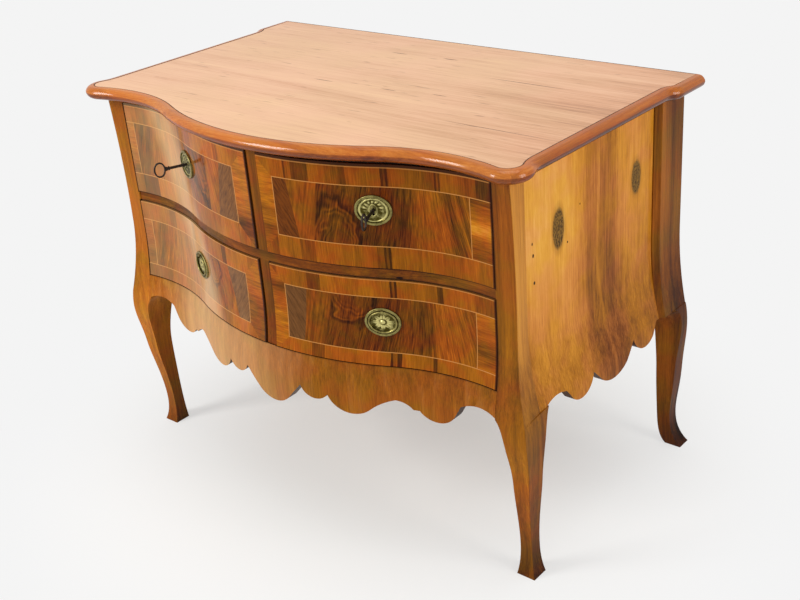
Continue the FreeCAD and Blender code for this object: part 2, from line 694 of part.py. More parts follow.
# ---------------------------------------------------------------- frames of the brass fittings
def fitting_frame(z, tilted):
    """Origin on the drawer's face, local X along it to the right, Y up, Z straight out of it."""
    x = size.plate_x
    slope = math.tan(math.asin(x / size.convex_radius))
    lift = (front_bombe.at(z + 1) - front_bombe.at(z - 1)) / 2 if tilted else 0.0
    outward = Vector(slope, -1, lift).normalize()
    across = Vector(0, 0, 1).cross(outward).normalize()
    up = outward.cross(across)
    return Placement(Vector(x, plan_y(x) + front_bombe.at(z), z), Rotation(across, up, outward))


upper_frame = fitting_frame(size.upper_plate_z, False)
lower_frame = fitting_frame(size.lower_plate_z, True)


def placed(shape_object, frame, offset=Vector(0, 0, 0), turn=Rotation()):
    """Moves a piece into a fitting's frame, first by its own offset and turn."""
    shape_object.Placement = frame * Placement(offset, turn)
    return shape_object


def cylinder(name, radius, length, frame, offset, axis=Vector(0, 0, 1), text=None):
    made = doc.addObject("Part::Cylinder", name)
    made.Radius = radius
    made.Height = length
    if text:
        made.setExpression("Radius", text)
    return placed(made, frame, offset, Rotation(Vector(0, 0, 1), axis))


def frame_box(name, low, high, frame):
    """A box between two corners of a fitting's frame."""
    made = doc.addObject("Part::Box", name)
    made.Length, made.Width, made.Height = [b - a for a, b in zip(low, high)]
    return placed(made, frame, Vector(*low))


OVAL_END = 0.84


def oval_arcs(wide, high):
    """Centre, radius, first and last angle of the four tangent arcs of an oval: ends and flanks."""
    half_wide = wide / 2
    half_high = high / 2
    end = OVAL_END * half_high
    flank = (half_wide ** 2 - 2 * half_wide * end + half_high ** 2) / (2 * (half_high - end))
    turn = math.atan2(flank - half_high, half_wide - end)
    half = math.pi
    return [((half_wide - end, 0), end, -turn, turn),
            ((0, half_high - flank), flank, turn, half - turn),
            ((end - half_wide, 0), end, half - turn, half + turn),
            ((0, flank - half_high), flank, half + turn, 2 * half - turn)]


def oval(name, wide_across, high_across, low, high, frame):
    """An oval disc of a fitting, from a low to a high distance off the drawer's face."""
    rim = doc.addObject("Sketcher::SketchObject", name + "_outline")
    draw(rim, [arc_about(*arc) for arc in oval_arcs(wide_across, high_across)])
    placed(rim, frame, Vector(0, 0, low))
    disc = doc.addObject("Part::Extrusion", name)
    disc.Base = rim
    disc.Dir = frame.Rotation.multVec(Vector(0, 0, 1))
    disc.DirMode = "Custom"
    disc.LengthFwd = high - low
    disc.Solid = True
    return disc


def round_edges(name, flat, radius, frame, low):
    """Fillets the curved edges of a flat oval piece that lie above a height in its frame."""
    doc.recompute()
    made = doc.addObject("Part::Fillet", name)
    made.Base = flat
    made.Edges = [(index, radius, radius) for index, edge in enumerate(flat.Shape.Edges, start=1)
                  if edge.Curve.TypeId == "Part::GeomCircle" and edge_height(edge, frame) > low]
    return made


SINK = 4.0
RIM_ROUND = 1.4


def make_plate(name, frame, front_blank):
    """A stamped oval plate with a raised rim; its back is fitted to the curved drawer front."""
    blank = oval(name + "_blank", size.plate_wide, size.plate_high, -SINK, size.rim_high, frame)
    rounded = round_edges(name + "_rounded", blank, RIM_ROUND, frame, 0)
    inner_wide = size.plate_wide - 2 * size.rim_wide
    inner_high = size.plate_high - 2 * size.rim_wide
    dish = oval(name + "_dish", inner_wide, inner_high, size.plate_thick, size.rim_high + 1, frame)
    dished = boolean("Cut", name + "_dished", rounded, dish)
    return boolean("Cut", name + "_seated", dished, front_blank)


def edge_height(edge, frame):
    """Height of an edge's middle off the drawer's face."""
    return frame.inverse().multVec(edge.CenterOfMass).z


# ---------------------------------------------------------------- drawers
BACK_LOWERED = 8.0


def make_drawer(level, low_z, high_z, side_high, bores):
    """Front, sides, back and bottom of a right-hand drawer."""
    name = "drawer_%s" % level
    z_text = {"upper": cell("mid_rail_z") + " + " + cell("mid_rail_high"),
              "lower": cell("apron_top_z")}[level]
    front_low = low_z + size.reveal
    front = frame_piece(name + "_front_blank", drawer_band, half_stile + size.reveal,
                        size.post_inner - size.reveal, front_low, high_z - size.reveal,
                        {"Placement.Base.z": z_text + " + " + cell("reveal")})
    for index, tool in enumerate(bores):
        front = boolean("Cut", "%s_front_%d" % (name, index), front, tool)
    keep_pair(name + "_front", front)

    floor = low_z + size.drawer_lift
    top = floor + side_high
    thick = size.drawer_side_thick
    back_y = size.drawer_back
    inner = size.drawer_inner_x
    outer = size.drawer_side_x
    tray = (floor + size.groove_up, floor + size.groove_up + size.drawer_bottom_thick)
    bottom_box = box(name + "_bottom_box", (inner + thick - size.groove_deep, -OUTSIDE, tray[0]),
                     (outer - thick + size.groove_deep, back_y, tray[1]),
                     {"Height": cell("drawer_bottom_thick")})
    keep_pair(name + "_bottom", boolean("Common", name + "_bottom_right", bottom_box, drawer_form))
    side_texts = {"Length": cell("drawer_side_thick"),
                  "Placement.Base.z": z_text + " + " + cell("drawer_lift")}
    for which, x in (("inner", inner), ("outer", outer - thick)):
        board = box("%s_%s_board" % (name, which), (x, -OUTSIDE, floor), (x + thick, back_y, top), side_texts)
        fitted = boolean("Common", "%s_%s_fitted" % (name, which), board, drawer_form)
        keep_pair("%s_side_%s" % (name, which), boolean("Cut", "%s_%s" % (name, which), fitted, bottom_box))
    keep_pair(name + "_back", box(name + "_back_right", (inner + thick, back_y - thick, tray[1]),
                                  (outer - thick, back_y, top - BACK_LOWERED),
                                  {"Width": cell("drawer_side_thick")}))


# ---------------------------------------------------------------- lock, key and escutcheon
LOCK_TOP = size.rail_top_z - size.reveal
LOCK_UP = LOCK_TOP - size.upper_plate_z
LOCK_DOWN = 24.0
LOCK_BACK = -(size.drawer_thick - size.lock_inlet + size.lock_deep)
LOCK_FRONT = -(size.drawer_thick - size.lock_inlet)
LOCK_WALL = 2.0
BIT_REACH = 11.0
BIT_LONG = 6.0
BIT_THICK = 2.6
KEY_CLEAR = 1.5
KEY_PIN = 1.0
COLLAR_LONG = 2.4
COLLARS = ((6.5, 1.0), (size.key_out - 9, 1.3), (size.key_out - 4, 1.6))
BOLT_WIDE = 26.0
BOLT_THICK = 5.0
BOLT_TAIL = 14.0
BOLT_BEHIND = 5.5
BOLT_RISE = 8.5
BOLT_SUNK = 1.0
BOLT_CLEAR = 1.0
MORTISE_CLEAR = 20.0
WAY_CLEAR = 6.0
THROUGH = 12.0
KEYHOLE_ROUND = 3.4
KEYHOLE_SLOT = 4.0
BOW_WIRE = 3.2
BOW_THICK = 3.4
BOW_ROUND = 1.0
RAIL_CLEAR = 0.4
half_lock = size.lock_wide / 2


def lock_body(name, grow, top_grow=0.0):
    """The outer block of the lock in its frame, or the mortise it lies in."""
    return frame_box(name, (-half_lock - grow, -LOCK_DOWN - grow, LOCK_BACK),
                     (half_lock + grow, LOCK_UP + top_grow, LOCK_FRONT + grow), upper_frame)


def keyhole(name, low, high):
    """A keyhole: a round for the pin of the key and a slot below it for the bit."""
    hole = cylinder(name + "_round", KEYHOLE_ROUND, high - low, upper_frame, Vector(0, 0, low))
    slot = frame_box(name + "_slot", (-KEYHOLE_SLOT / 2, -BIT_REACH - 1, low), (KEYHOLE_SLOT / 2, 0, high),
                     upper_frame)
    return fuse(name, [hole, slot])


def bolt_block(name, grow, lift):
    """The bolt in its frame; with growth, the way it slides in."""
    return frame_box(name, (-BOLT_WIDE / 2 - grow, BOLT_TAIL, bolt_low - grow),
                     (BOLT_WIDE / 2 + grow, LOCK_UP + lift, bolt_low + BOLT_THICK + grow), upper_frame)


bolt_low = LOCK_BACK + BOLT_BEHIND
mortise = lock_body("lock_mortise", 0.0, MORTISE_CLEAR)
front_keyhole = keyhole("front_keyhole", LOCK_FRONT - 1, THROUGH)


def make_lock_case():
    block = lock_body("lock_block", 0.0)
    chamber = frame_box("lock_chamber",
                        (-half_lock + LOCK_WALL, -LOCK_DOWN + LOCK_WALL, LOCK_BACK + LOCK_WALL),
                        (half_lock - LOCK_WALL, LOCK_UP - LOCK_WALL, LOCK_FRONT - LOCK_WALL), upper_frame)
    way = bolt_block("bolt_way", RAIL_CLEAR, WAY_CLEAR)
    hollow = boolean("Cut", "lock_hollow", block, chamber)
    slotted = boolean("Cut", "lock_slotted", hollow, way)
    case_keyhole = keyhole("case_keyhole", LOCK_FRONT - LOCK_WALL - 1, LOCK_FRONT + 1)
    return boolean("Cut", "lock_case", slotted, case_keyhole)


def make_key():
    """A key: flat oval bow, turned shaft with collars, and its bit inside the lock."""
    inside = -LOCK_BACK - LOCK_WALL - KEY_CLEAR
    radius = size.key_shaft / 2
    shaft = cylinder("key_shaft_rod", radius, inside + size.key_out, upper_frame, Vector(0, 0, -inside),
                     text=cell("key_shaft") + " / 2")
    bit_low = KEY_PIN - inside
    bit = frame_box("key_bit", (-BIT_THICK / 2, -BIT_REACH, bit_low), (BIT_THICK / 2, 0, bit_low + BIT_LONG),
                    upper_frame)
    collars = [cylinder("key_collar_%d" % n, radius + grow, COLLAR_LONG, upper_frame, Vector(0, 0, out))
               for n, (out, grow) in enumerate(COLLARS)]
    upright = Rotation(Vector(0, 1, 0), 90) * Rotation(Vector(0, 0, 1), 90)
    reach = size.key_out + size.key_bow_long / 2 - BOW_WIRE / 2
    bow_frame = upper_frame * Placement(Vector(0, 0, reach), upright)
    half_thick = BOW_THICK / 2
    blank = oval("key_bow_blank", size.key_bow_high, size.key_bow_long, -half_thick, half_thick, bow_frame)
    eye = oval("key_bow_eye", size.key_bow_high - 2 * BOW_WIRE, size.key_bow_long - 2 * BOW_WIRE,
               -half_thick - 1, half_thick + 1, bow_frame)
    flat = boolean("Cut", "key_bow_flat", blank, eye)
    bow = round_edges("key_bow", flat, BOW_ROUND, bow_frame, -BOW_THICK)
    return fuse("key", [shaft, bit, bow] + collars)


# ---------------------------------------------------------------- ring pull of a lower drawer
WIRE = size.ring_wire / 2
RING_OFF = size.plate_thick + WIRE + 0.5
EYE_RADIUS = WIRE + 0.45
EYE_WIDE = 5.0
EYE_OUTER = 3.4
SHANK = 2.5
PIVOT_UP = size.ring_high / 2
NUT_THICK = 4.0
NUT_RADIUS = 6.0
NUT_GAP = 1.0


def make_ring():
    """An oval ring of round wire, four bent lengths end to end, that hangs from the eye of its post."""
    lengths = []
    for centre, radius, start, end in oval_arcs(size.ring_wide, size.ring_high):
        bent = doc.addObject("Part::Torus", "ring_length_%d" % len(lengths))
        bent.Radius1 = radius
        bent.Radius2 = WIRE
        bent.setExpression("Radius2", cell("ring_wire") + " / 2")
        bent.Angle3 = math.degrees(end - start)
        turned = Rotation(Vector(0, 0, 1), math.degrees(start))
        lengths.append(placed(bent, lower_frame, Vector(centre[0], centre[1], RING_OFF), turned))
    return fuse("ring_pull", lengths)


def make_ring_post():
    """The post behind the plate, its eye round the ring's wire, and its nut inside the drawer."""
    inside = size.drawer_thick + NUT_GAP
    shank = cylinder("post_shank", SHANK, inside + NUT_THICK, lower_frame,
                     Vector(0, PIVOT_UP, -inside - NUT_THICK))
    nut = cylinder("post_nut", NUT_RADIUS, NUT_THICK, lower_frame, Vector(0, PIVOT_UP, -inside - NUT_THICK))
    head = frame_box("post_head", (-EYE_WIDE / 2, PIVOT_UP - EYE_OUTER, size.plate_thick),
                     (EYE_WIDE / 2, PIVOT_UP + EYE_OUTER, RING_OFF), lower_frame)
    neck = cylinder("post_neck", SHANK, size.plate_thick + 1, lower_frame, Vector(0, PIVOT_UP, -1))
    eye = cylinder("post_eye", EYE_OUTER, EYE_WIDE, lower_frame, Vector(-EYE_WIDE / 2, PIVOT_UP, RING_OFF),
                   Vector(1, 0, 0))
    solid = fuse("post_solid", [shank, nut, neck, head, eye])
    hole = cylinder("post_hole", EYE_RADIUS, 2 * EYE_WIDE, lower_frame, Vector(-EYE_WIDE, PIVOT_UP, RING_OFF),
                    Vector(1, 0, 0))
    return boolean("Cut", "ring_post", solid, hole)


post_bore = cylinder("post_bore", SHANK, 2 * size.drawer_thick + THROUGH, lower_frame,
                     Vector(0, PIVOT_UP, -2 * size.drawer_thick))


make_drawer("upper", mid_top, size.rail_top_z, size.upper_side_high, [mortise, front_keyhole])
make_drawer("lower", size.apron_top_z, size.mid_rail_z, size.lower_side_high, [post_bore])

escutcheon_plate = make_plate("escutcheon", upper_frame, face_form)
keep_pair("escutcheon", boolean("Cut", "escutcheon", escutcheon_plate, front_keyhole))
keep_pair("lock_case", make_lock_case())
keep_pair("lock_bolt", bolt_block("lock_bolt", 0.0, -BOLT_SUNK))
keep_pair("key", make_key())
rosette = make_plate("rosette_plate", lower_frame, face_form)
keep_pair("rosette_plate", boolean("Cut", "rosette_plate", rosette, post_bore))
keep_pair("ring_pull", make_ring())
keep_pair("ring_post", make_ring_post())

bolt_mortise = bolt_block("bolt_mortise", BOLT_CLEAR, BOLT_RISE)
keep("front_top_rail", boolean("Cut", "front_top_rail",
                               boolean("Cut", "top_rail_half", top_rail_blank, bolt_mortise),
                               mirror("bolt_mortise_left", bolt_mortise)))

# ---------------------------------------------------------------- check and export
doc.recompute()
for item in doc.Objects:
    if "Invalid" in item.State or "Error" in item.State:
        raise RuntimeError("%s did not build: %s" % (item.Label, item.State))
os.makedirs("parts", exist_ok=True)
for name, piece in nodes.items():
    if piece.Shape.isNull() or not piece.Shape.isValid() or piece.Shape.Volume <= 0:
        raise RuntimeError("%s has no valid shape" % name)
    piece.Shape.exportStep(os.path.join("parts", name + ".step"))
print(len(nodes), "parts")
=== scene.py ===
import math

import bmesh
import bpy
import numpy as np
from mathutils import Matrix, Vector


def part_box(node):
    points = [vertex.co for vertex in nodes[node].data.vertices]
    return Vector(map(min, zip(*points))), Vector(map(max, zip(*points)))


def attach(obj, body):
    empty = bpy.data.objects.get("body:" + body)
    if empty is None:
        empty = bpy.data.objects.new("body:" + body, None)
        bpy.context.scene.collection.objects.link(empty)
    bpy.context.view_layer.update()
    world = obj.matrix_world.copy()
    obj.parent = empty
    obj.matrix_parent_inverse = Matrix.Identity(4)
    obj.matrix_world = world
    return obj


# Bombe chest in figured walnut: veneered drawer fronts with crossbanding and stringing, solid walnut
# posts, apron and mouldings, golden side veneers, a pale polished top, and old brass plates.
# Blender units are metres; every pattern below is laid out in millimetres.

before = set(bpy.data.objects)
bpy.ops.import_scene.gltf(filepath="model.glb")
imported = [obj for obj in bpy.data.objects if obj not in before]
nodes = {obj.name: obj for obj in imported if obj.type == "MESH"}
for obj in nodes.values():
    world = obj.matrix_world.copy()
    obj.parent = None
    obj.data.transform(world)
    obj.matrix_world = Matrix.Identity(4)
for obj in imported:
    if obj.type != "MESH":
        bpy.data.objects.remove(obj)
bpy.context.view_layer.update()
MM = 0.001

# sockets of the Mix node when it mixes colours, and when it mixes numbers
FACTOR, A, B, MIXED = 0, 6, 7, 2
LESS, MORE = 2, 3
# the mesh attribute that says how far embossed brass stands proud
RAISED = "raised"
# the longest distance in mm that a run of tones covers
RAMP_LONG = 1000.0
# values of a noise between which a patch of wood turns from cool to warm
PATCH_EDGE = (0.4, 0.6)
# distances from its middle between which a mark fades in, where 1 is its outline
MARK_EDGE = (1.1, 0.7)
# how far a surface has to turn towards an axis to count as facing that way
TURNED = (0.5, 0.85)
# how much duller the open pores are than the wood, and how much keener the wood between them
PORE_DULL = 0.12
WOOD_KEEN = 0.05


# ---------------------------------------------------------------- node helper and shared patterns
def linear(hex_colour):
    """The linear RGBA of an sRGB hex colour such as "#b5662f"."""
    channels = [int(hex_colour[i:i + 2], 16) / 255 for i in (1, 3, 5)]
    return tuple(c / 12.92 if c <= 0.04045 else ((c + 0.055) / 1.055) ** 2.4 for c in channels) + (1.0,)


def add(tree, kind, inputs=(), out=0, ramp=(), steps="LINEAR", **settings):
    """Adds one node and gives one of its outputs. "Math.ADD" is a Math node set to ADD; each input is
    a number, a colour or another node's output, in order or by name; ramp is a list of stops, each a
    place and a hex colour or a tone from 0 to 1."""
    kind, _, operation = kind.partition(".")
    node = tree.nodes.new("ShaderNode" + kind)
    if operation:
        node.operation = operation
    for name, value in settings.items():
        setattr(node, name, value)
    for key, value in inputs.items() if isinstance(inputs, dict) else enumerate(inputs):
        if isinstance(value, bpy.types.NodeSocket):
            tree.links.new(value, node.inputs[key])
        else:
            node.inputs[key].default_value = value
    for count, (place, shade) in enumerate(ramp):
        node.color_ramp.interpolation = steps
        stops = node.color_ramp.elements
        stop = stops[count] if count < 2 else stops.new(place)
        stop.position = place
        stop.color = linear(shade) if isinstance(shade, str) else (shade, shade, shade, 1.0)
    return node.outputs[out] if node.outputs else None


def new_material(name):
    """An empty node material and its tree."""
    made = bpy.data.materials.new(name)
    made.use_nodes = True
    made.node_tree.nodes.clear()
    return made, made.node_tree


def millimetres(tree):
    """The piece's own coordinates in millimetres."""
    place = add(tree, "TexCoord", out="Object")
    return add(tree, "VectorMath.MULTIPLY", (place, (1 / MM, 1 / MM, 1 / MM)))


def grain(tree, place, along, wide, long, seed=0.0, detail=5.0, bend=0.0):
    """Wood streaks: noise whose cells are `wide` mm across and `long` mm along one axis."""
    cells = [1 / wide, 1 / wide, 1 / wide]
    cells["xyz".index(along)] = 1 / long
    spot = add(tree, "Mapping", {"Vector": place, "Location": (seed, seed, seed), "Scale": cells})
    return add(tree, "TexNoise", {"Vector": spot, "Scale": 1.0, "Detail": detail, "Roughness": 0.6,
                                  "Distortion": bend})


def figured(tree, tone, *layers):
    """A tone with figure laid on it: each layer is a noise and how much it lightens or darkens."""
    for noise, strength in layers:
        tone = add(tree, "Math.MULTIPLY_ADD", (noise, strength, tone))
    return add(tree, "Math.SUBTRACT", (tone, sum(strength for noise, strength in layers) / 2))


def laid_over(tree, colour, *coats):
    """A colour with others laid over it in turn: each coat is the share of it that shows and its colour,
    a hex colour or another node's output."""
    for share, coat in coats:
        coat = linear(coat) if isinstance(coat, str) else coat
        colour = add(tree, "Mix", {FACTOR: share, A: colour, B: coat}, out=MIXED, data_type="RGBA")
    return colour


def tinted(tree, place, tone, cool, warm, patch, seed):
    """The colour of a tone, between a cool and a warm run of colours in patches `patch` mm across."""
    patches = grain(tree, place, "x", patch, patch, seed=seed, detail=2.0)
    share = add(tree, "MapRange", (patches, *PATCH_EDGE))
    runs = [add(tree, "ValToRGB", (tone,), ramp=run) for run in (cool, warm)]
    return laid_over(tree, runs[0], (share, runs[1]))


def run_of_tones(tree, value, stops, steps="LINEAR"):
    """Tone along a distance: each stop is a place in mm and the tone there, or from there on."""
    share = add(tree, "MapRange", (value, 0.0, RAMP_LONG))
    ramp = [(at / RAMP_LONG, tone) for at, tone in stops]
    return add(tree, "ValToRGB", (share,), ramp=ramp, steps=steps)


def oval(tree, place, middle, half):
    """Distance from the middle of an oval, 1 on its outline; a half size of 0 leaves that axis out."""
    spot = add(tree, "VectorMath.SUBTRACT", (place, middle))
    spot = add(tree, "VectorMath.MULTIPLY", (spot, tuple(1 / size if size else 0.0 for size in half)))
    return add(tree, "VectorMath.LENGTH", (spot,), out="Value")


def marked(tree, place, colour, marks, shade):
    """Small dark marks, such as worm holes, cracks and chips: each is a middle and half sizes in mm."""
    for middle, half in marks:
        inside = add(tree, "MapRange", (oval(tree, place, middle, half), *MARK_EDGE))
        colour = laid_over(tree, colour, (inside, shade))
    return colour


def polished(tree, colour, pores, roughness, coat, coat_roughness=0.14, depth=0.12, coat_ior=1.5):
    """Shellac-polished wood: the figure's colour under a thin clear coat, which alone reflects, and pores
    `depth` mm deep as a shallow bump."""
    rough = add(tree, "MapRange", {"Value": pores, "To Min": roughness + PORE_DULL,
                                   "To Max": roughness - WOOD_KEEN})
    normal = add(tree, "Bump", {"Strength": 0.5, "Distance": depth * MM, "Height": pores})
    shader = add(tree, "BsdfPrincipled", {
        "Base Color": colour, "Roughness": rough, "Normal": normal, "Specular IOR Level": 0.0,
        "Coat Weight": coat, "Coat Roughness": coat_roughness, "Coat IOR": coat_ior})
    add(tree, "OutputMaterial", {"Surface": shader})


def facing(tree, axis, low, high, both=False):
    """0 to 1 as the surface's own normal turns from `low` to `high` along one axis, or both ways."""
    parts = add(tree, "TexCoord", out="Normal")
    value = add(tree, "SeparateXYZ", (parts,), out=axis)
    if both:
        value = add(tree, "Math.ABSOLUTE", (value,))
    return add(tree, "MapRange", (value, low, high))


# ---------------------------------------------------------------- wood finishes
def evenly(*shades):
    """A run of colours at even steps, from tone 0 to tone 1."""
    return [(step / (len(shades) - 1), shade) for step, shade in enumerate(shades)]


# each wood's own colours, from its darkest figure (0) to its lightest (1)
OLIVE_WALNUT = evenly("#1a0c03", "#402207", "#69400a", "#92580d", "#b87614", "#d89a30")
RUDDY_WALNUT = evenly("#1f0904", "#48200b", "#713a0c", "#9a5312", "#be6e1b", "#dc9040")
FIGURED_COOL = evenly("#1a0c03", "#3c2105", "#663b08", "#90530b", "#b86e10", "#d6922a")
FIGURED_WARM = evenly("#1f0804", "#491d08", "#703409", "#994b0d", "#be6515", "#dc883a")
MOULDING_COOL = evenly("#341505", "#642d0c", "#964d14", "#bc6c24", "#d28b40", "#e4ae6c")
MOULDING_WARM = evenly("#381205", "#6c2c0a", "#9c4b12", "#be6822", "#d2853c", "#e6a66c")
GOLD_SAPWOOD = evenly("#3c1f0a", "#764414", "#aa6a1a", "#cf8a2a", "#e0a03c", "#edb95c")
AMBER_SAPWOOD = evenly("#3f1c0a", "#7c4318", "#b0682a", "#d0863a", "#e09c4c", "#eeb46a")
BLEACHED = [(0.0, "#8a5f3c"), (0.3, "#cb9a72"), (0.5, "#dcae86"), (0.7, "#e5b98c"), (1.0, "#efc898")]
BLEACHED_PINK = [(0.0, "#8a5a38"), (0.3, "#d29c76"), (0.5, "#e2b18c"), (0.7, "#e9ba92"),
                 (1.0, "#f2c9a0")]
# dark brown of chips, worm holes and soiling, and of the painted shade round the drawer openings
GRIME_AND_SHADE = "#1f0c05"
# dark red of stain and painted shade over the fronts' ends, and of the painted shadow under the top
WINE_STAIN_AND_SHADE = "#2c0d08"
# dark brown of soiling and painted shade on cut edges
EDGE_DIRT_AND_SHADE = "#260f06"
OPEN_GRAIN = "#7a5236"
# pale colour of the painted sheen of the light on the polish
SHEEN = "#e6c490"
KNOT_HALO = "#9a6420"
KNOT_SPECKLE = [(0.38, "#3f2a12"), (0.6, "#8a6426")]
BARE_FRONT = "#a9825a"
# dark of old polish and painted shade on the fronts' ends, in the gaps
FRONT_END_AND_SHADE = "#4a2a14"

# sizes of walnut's figure in mm, across and along the grain. Its real pores are 0.1 to 0.3 mm wide, too
# fine to show, so they are drawn three times as coarse.
BROAD_STREAKS = (24.0, 700.0)
FINE_STREAKS = (2.8, 160.0)
PORES = (0.9, 22.0)
# how strongly the pores darken the wood
PORE_STRONG = 0.25

# soiling and painted shade round a drawer's opening, where the gap's shadow falls: mm outside its edge
# where it starts and where it is full
GRIME_AND_SHADE_REACH = (4.2, 2.2)
# how far a surface has to turn to its board's face to be no cut edge, and how dark the soiling and painted
# shade on the edges are
BOARD_FACE = (0.3, 0.5)
EDGE_DARKENED = 0.9
# how much the clouds of the painted sheen vary
SHEEN_CLOUDY = 0.6
# how strong the painted sheen of the light on the apron is, leftwards from this x in mm
SHEEN_FROM = 110.0
APRON_SHEEN = ((0, 0.0), (210, 0.8), (310, 1.0), (430, 1.0), (500, 0.25), (560, 0.0))
# golden flanks of the posts: the most of it, heights where it sets in, depths where it falls to a fifth
FLANK_MOST = 0.8
FLANK_RISE = (280.0, 460.0)
FLANK_REAR = (100.0, 240.0, 1.0, 0.2)


def rectangle_distance(tree, u, w, box):
    """Signed distances in mm outside a rectangle's sides, across and up, and the larger of the two."""
    found = []
    for value, low, high in ((u, *box[:2]), (w, *box[2:])):
        offset = add(tree, "Math.SUBTRACT", (value, (low + high) / 2))
        offset = add(tree, "Math.ABSOLUTE", (offset,))
        found.append(add(tree, "Math.SUBTRACT", (offset, (high - low) / 2)))
    return found[0], found[1], add(tree, "Math.MAXIMUM", tuple(found))


def front_outline(node):
    """A drawer front's edges in mm: |x| from and to, z from and to."""
    low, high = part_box(node)
    return (low.x / MM, high.x / MM, low.z / MM, high.z / MM)


UPPER_OUTLINE = front_outline("drawer_upper_front_right")
LOWER_OUTLINE = front_outline("drawer_lower_front_right")


def front_place(tree, place):
    """|x| and z in mm, which the left and right halves of the front share."""
    u = add(tree, "Math.ABSOLUTE", (add(tree, "SeparateXYZ", (place,), out="X"),))
    return u, add(tree, "SeparateXYZ", (place,), out="Z")


def grimy_and_shaded(tree, place, colour, most):
    """Old polish and soiling along the edges of the drawer openings, and painted shade where the gaps'
    shadow falls; most is its share there.
    """
    u, w = front_place(tree, place)
    for outline in (UPPER_OUTLINE, LOWER_OUTLINE):
        outside = rectangle_distance(tree, u, w, outline)[2]
        share = add(tree, "MapRange", (outside, *GRIME_AND_SHADE_REACH, 0.0, most))
        colour = laid_over(tree, colour, (share, GRIME_AND_SHADE))
    return colour


def shaded_sawn_edges(tree, colour, axis):
    """Cut edges, dark with old soiling and painted shade: where a surface turns away from the axis its
    board faces.
    """
    face = facing(tree, axis, *BOARD_FACE, both=True)
    share = add(tree, "Math.MULTIPLY_ADD", (face, -EDGE_DARKENED, EDGE_DARKENED))
    return laid_over(tree, colour, (share, EDGE_DIRT_AND_SHADE))


def painted_sheen(tree, colour, level, cloud, strength):
    """Painted sheen of the light on the polish, in clouds: level says how much there is, strength the
    most.
    """
    clouded = figured(tree, level, (cloud, SHEEN_CLOUDY))
    share = add(tree, "Math.MULTIPLY", (clouded, strength), use_clamp=True)
    return laid_over(tree, colour, (share, SHEEN))


def solid_walnut(name, along, tone, cool, warm, seed, lively=(0.6, 0.4), coat=0.4, coat_ior=1.3,
                 marks=(), rough=0.34, flank=None, sheen=0.0, grime_and_shade=0.85, board_faces=None):
    """Walnut in the solid, shellac polished: straight streaks along the grain and fine dark pores. The
    tone is a number, or a function that works it out from the place; lively is how strong the broad and
    the fine streaks are; flank is the run of colours on faces that look sideways; sheen is the painted
    sheen of the light on the left; grime_and_shade is how dark the soiling and painted shade by the
    drawers are; board_faces is the axis that a board faces, whose cut edges get soiling and painted shade."""
    made, tree = new_material(name)
    place = millimetres(tree)
    broad = grain(tree, place, along, *BROAD_STREAKS, seed=seed, detail=3.0, bend=0.5)
    fine = grain(tree, place, along, *FINE_STREAKS, seed=seed + 5.0)
    pores = grain(tree, place, along, *PORES, seed=seed + 2.0, detail=2.0)
    level = tone(tree, place) if callable(tone) else tone
    shade = figured(tree, level, (broad, lively[0]), (fine, lively[1]), (pores, PORE_STRONG))
    colour = tinted(tree, place, shade, cool, warm, 70.0, seed)
    if flank:
        rise = add(tree, "MapRange", (add(tree, "SeparateXYZ", (place,), out="Z"), *FLANK_RISE))
        rear = add(tree, "MapRange", (add(tree, "SeparateXYZ", (place,), out="Y"), *FLANK_REAR))
        sideways = facing(tree, "X", *TURNED, both=True)
        for share in (FLANK_MOST, rise, rear):
            sideways = add(tree, "Math.MULTIPLY", (sideways, share))
        colour = laid_over(tree, colour, (sideways, add(tree, "ValToRGB", (shade,), ramp=flank)))
    if sheen:
        leftwards = add(tree, "Math.SUBTRACT", (SHEEN_FROM, add(tree, "SeparateXYZ", (place,), out="X")))
        colour = painted_sheen(tree, colour, run_of_tones(tree, leftwards, APRON_SHEEN), broad, sheen)
    colour = grimy_and_shaded(tree, place, colour, grime_and_shade)
    colour = marked(tree, place, colour, marks, GRIME_AND_SHADE)
    if board_faces:
        colour = shaded_sawn_edges(tree, colour, board_faces)
    polished(tree, colour, pores, rough, coat, coat_ior=coat_ior)
    return made


# tones of the posts and legs at heights in mm
POST_TONES = ((0, 0.38), (90, 0.52), (240, 0.68), (330, 0.62), (430, 0.58), (560, 0.58), (700, 0.51),
              (800, 0.46))


def post_tone(tree, place):
    """Corner posts and legs: painted light on the left, golden on the sides by the drawers, browner down
    the legs, the rear posts brown towards the back."""
    across, depth, height = (add(tree, "SeparateXYZ", (place,), out=axis) for axis in "XYZ")
    level = run_of_tones(tree, height, POST_TONES)
    # painted light: lighter on the left, where more light falls
    level = add(tree, "Math.ADD", (level, add(tree, "MapRange", (across, 100.0, -100.0, 0.0, 0.13))))
    high = add(tree, "MapRange", (height, 300.0, 600.0, -0.17, 0.12))
    level = add(tree, "Math.MULTIPLY_ADD", (facing(tree, "X", *TURNED, both=True), high, level))
    behind = add(tree, "MapRange", (depth, 150.0, 290.0, -0.06, -0.24))
    upper = add(tree, "MapRange", (height, 150.0, 380.0, 0.5, 1.0))
    return add(tree, "Math.MULTIPLY_ADD", (behind, upper, level))


def apron_tone(tree, place):
    """A little lighter low down, where hands and brooms have rubbed it, and painted light on the left."""
    low = add(tree, "MapRange", (add(tree, "SeparateXYZ", (place,), out="Z"), 395.0, 310.0, 0.53, 0.6))
    # painted light: lighter on the left, where more light falls
    left = add(tree, "MapRange", (add(tree, "SeparateXYZ", (place,), out="X"), 100.0, -300.0, 0.0, 0.1))
    return add(tree, "Math.ADD", (low, left))


def rail_tone_and_shadow(tree, place):
    """Painted shadow: nearly black under the moulding, brown between the drawers."""
    height = add(tree, "SeparateXYZ", (place,), out="Z")
    return add(tree, "MapRange", (height, 770.0, 786.0, 0.4, 0.1))


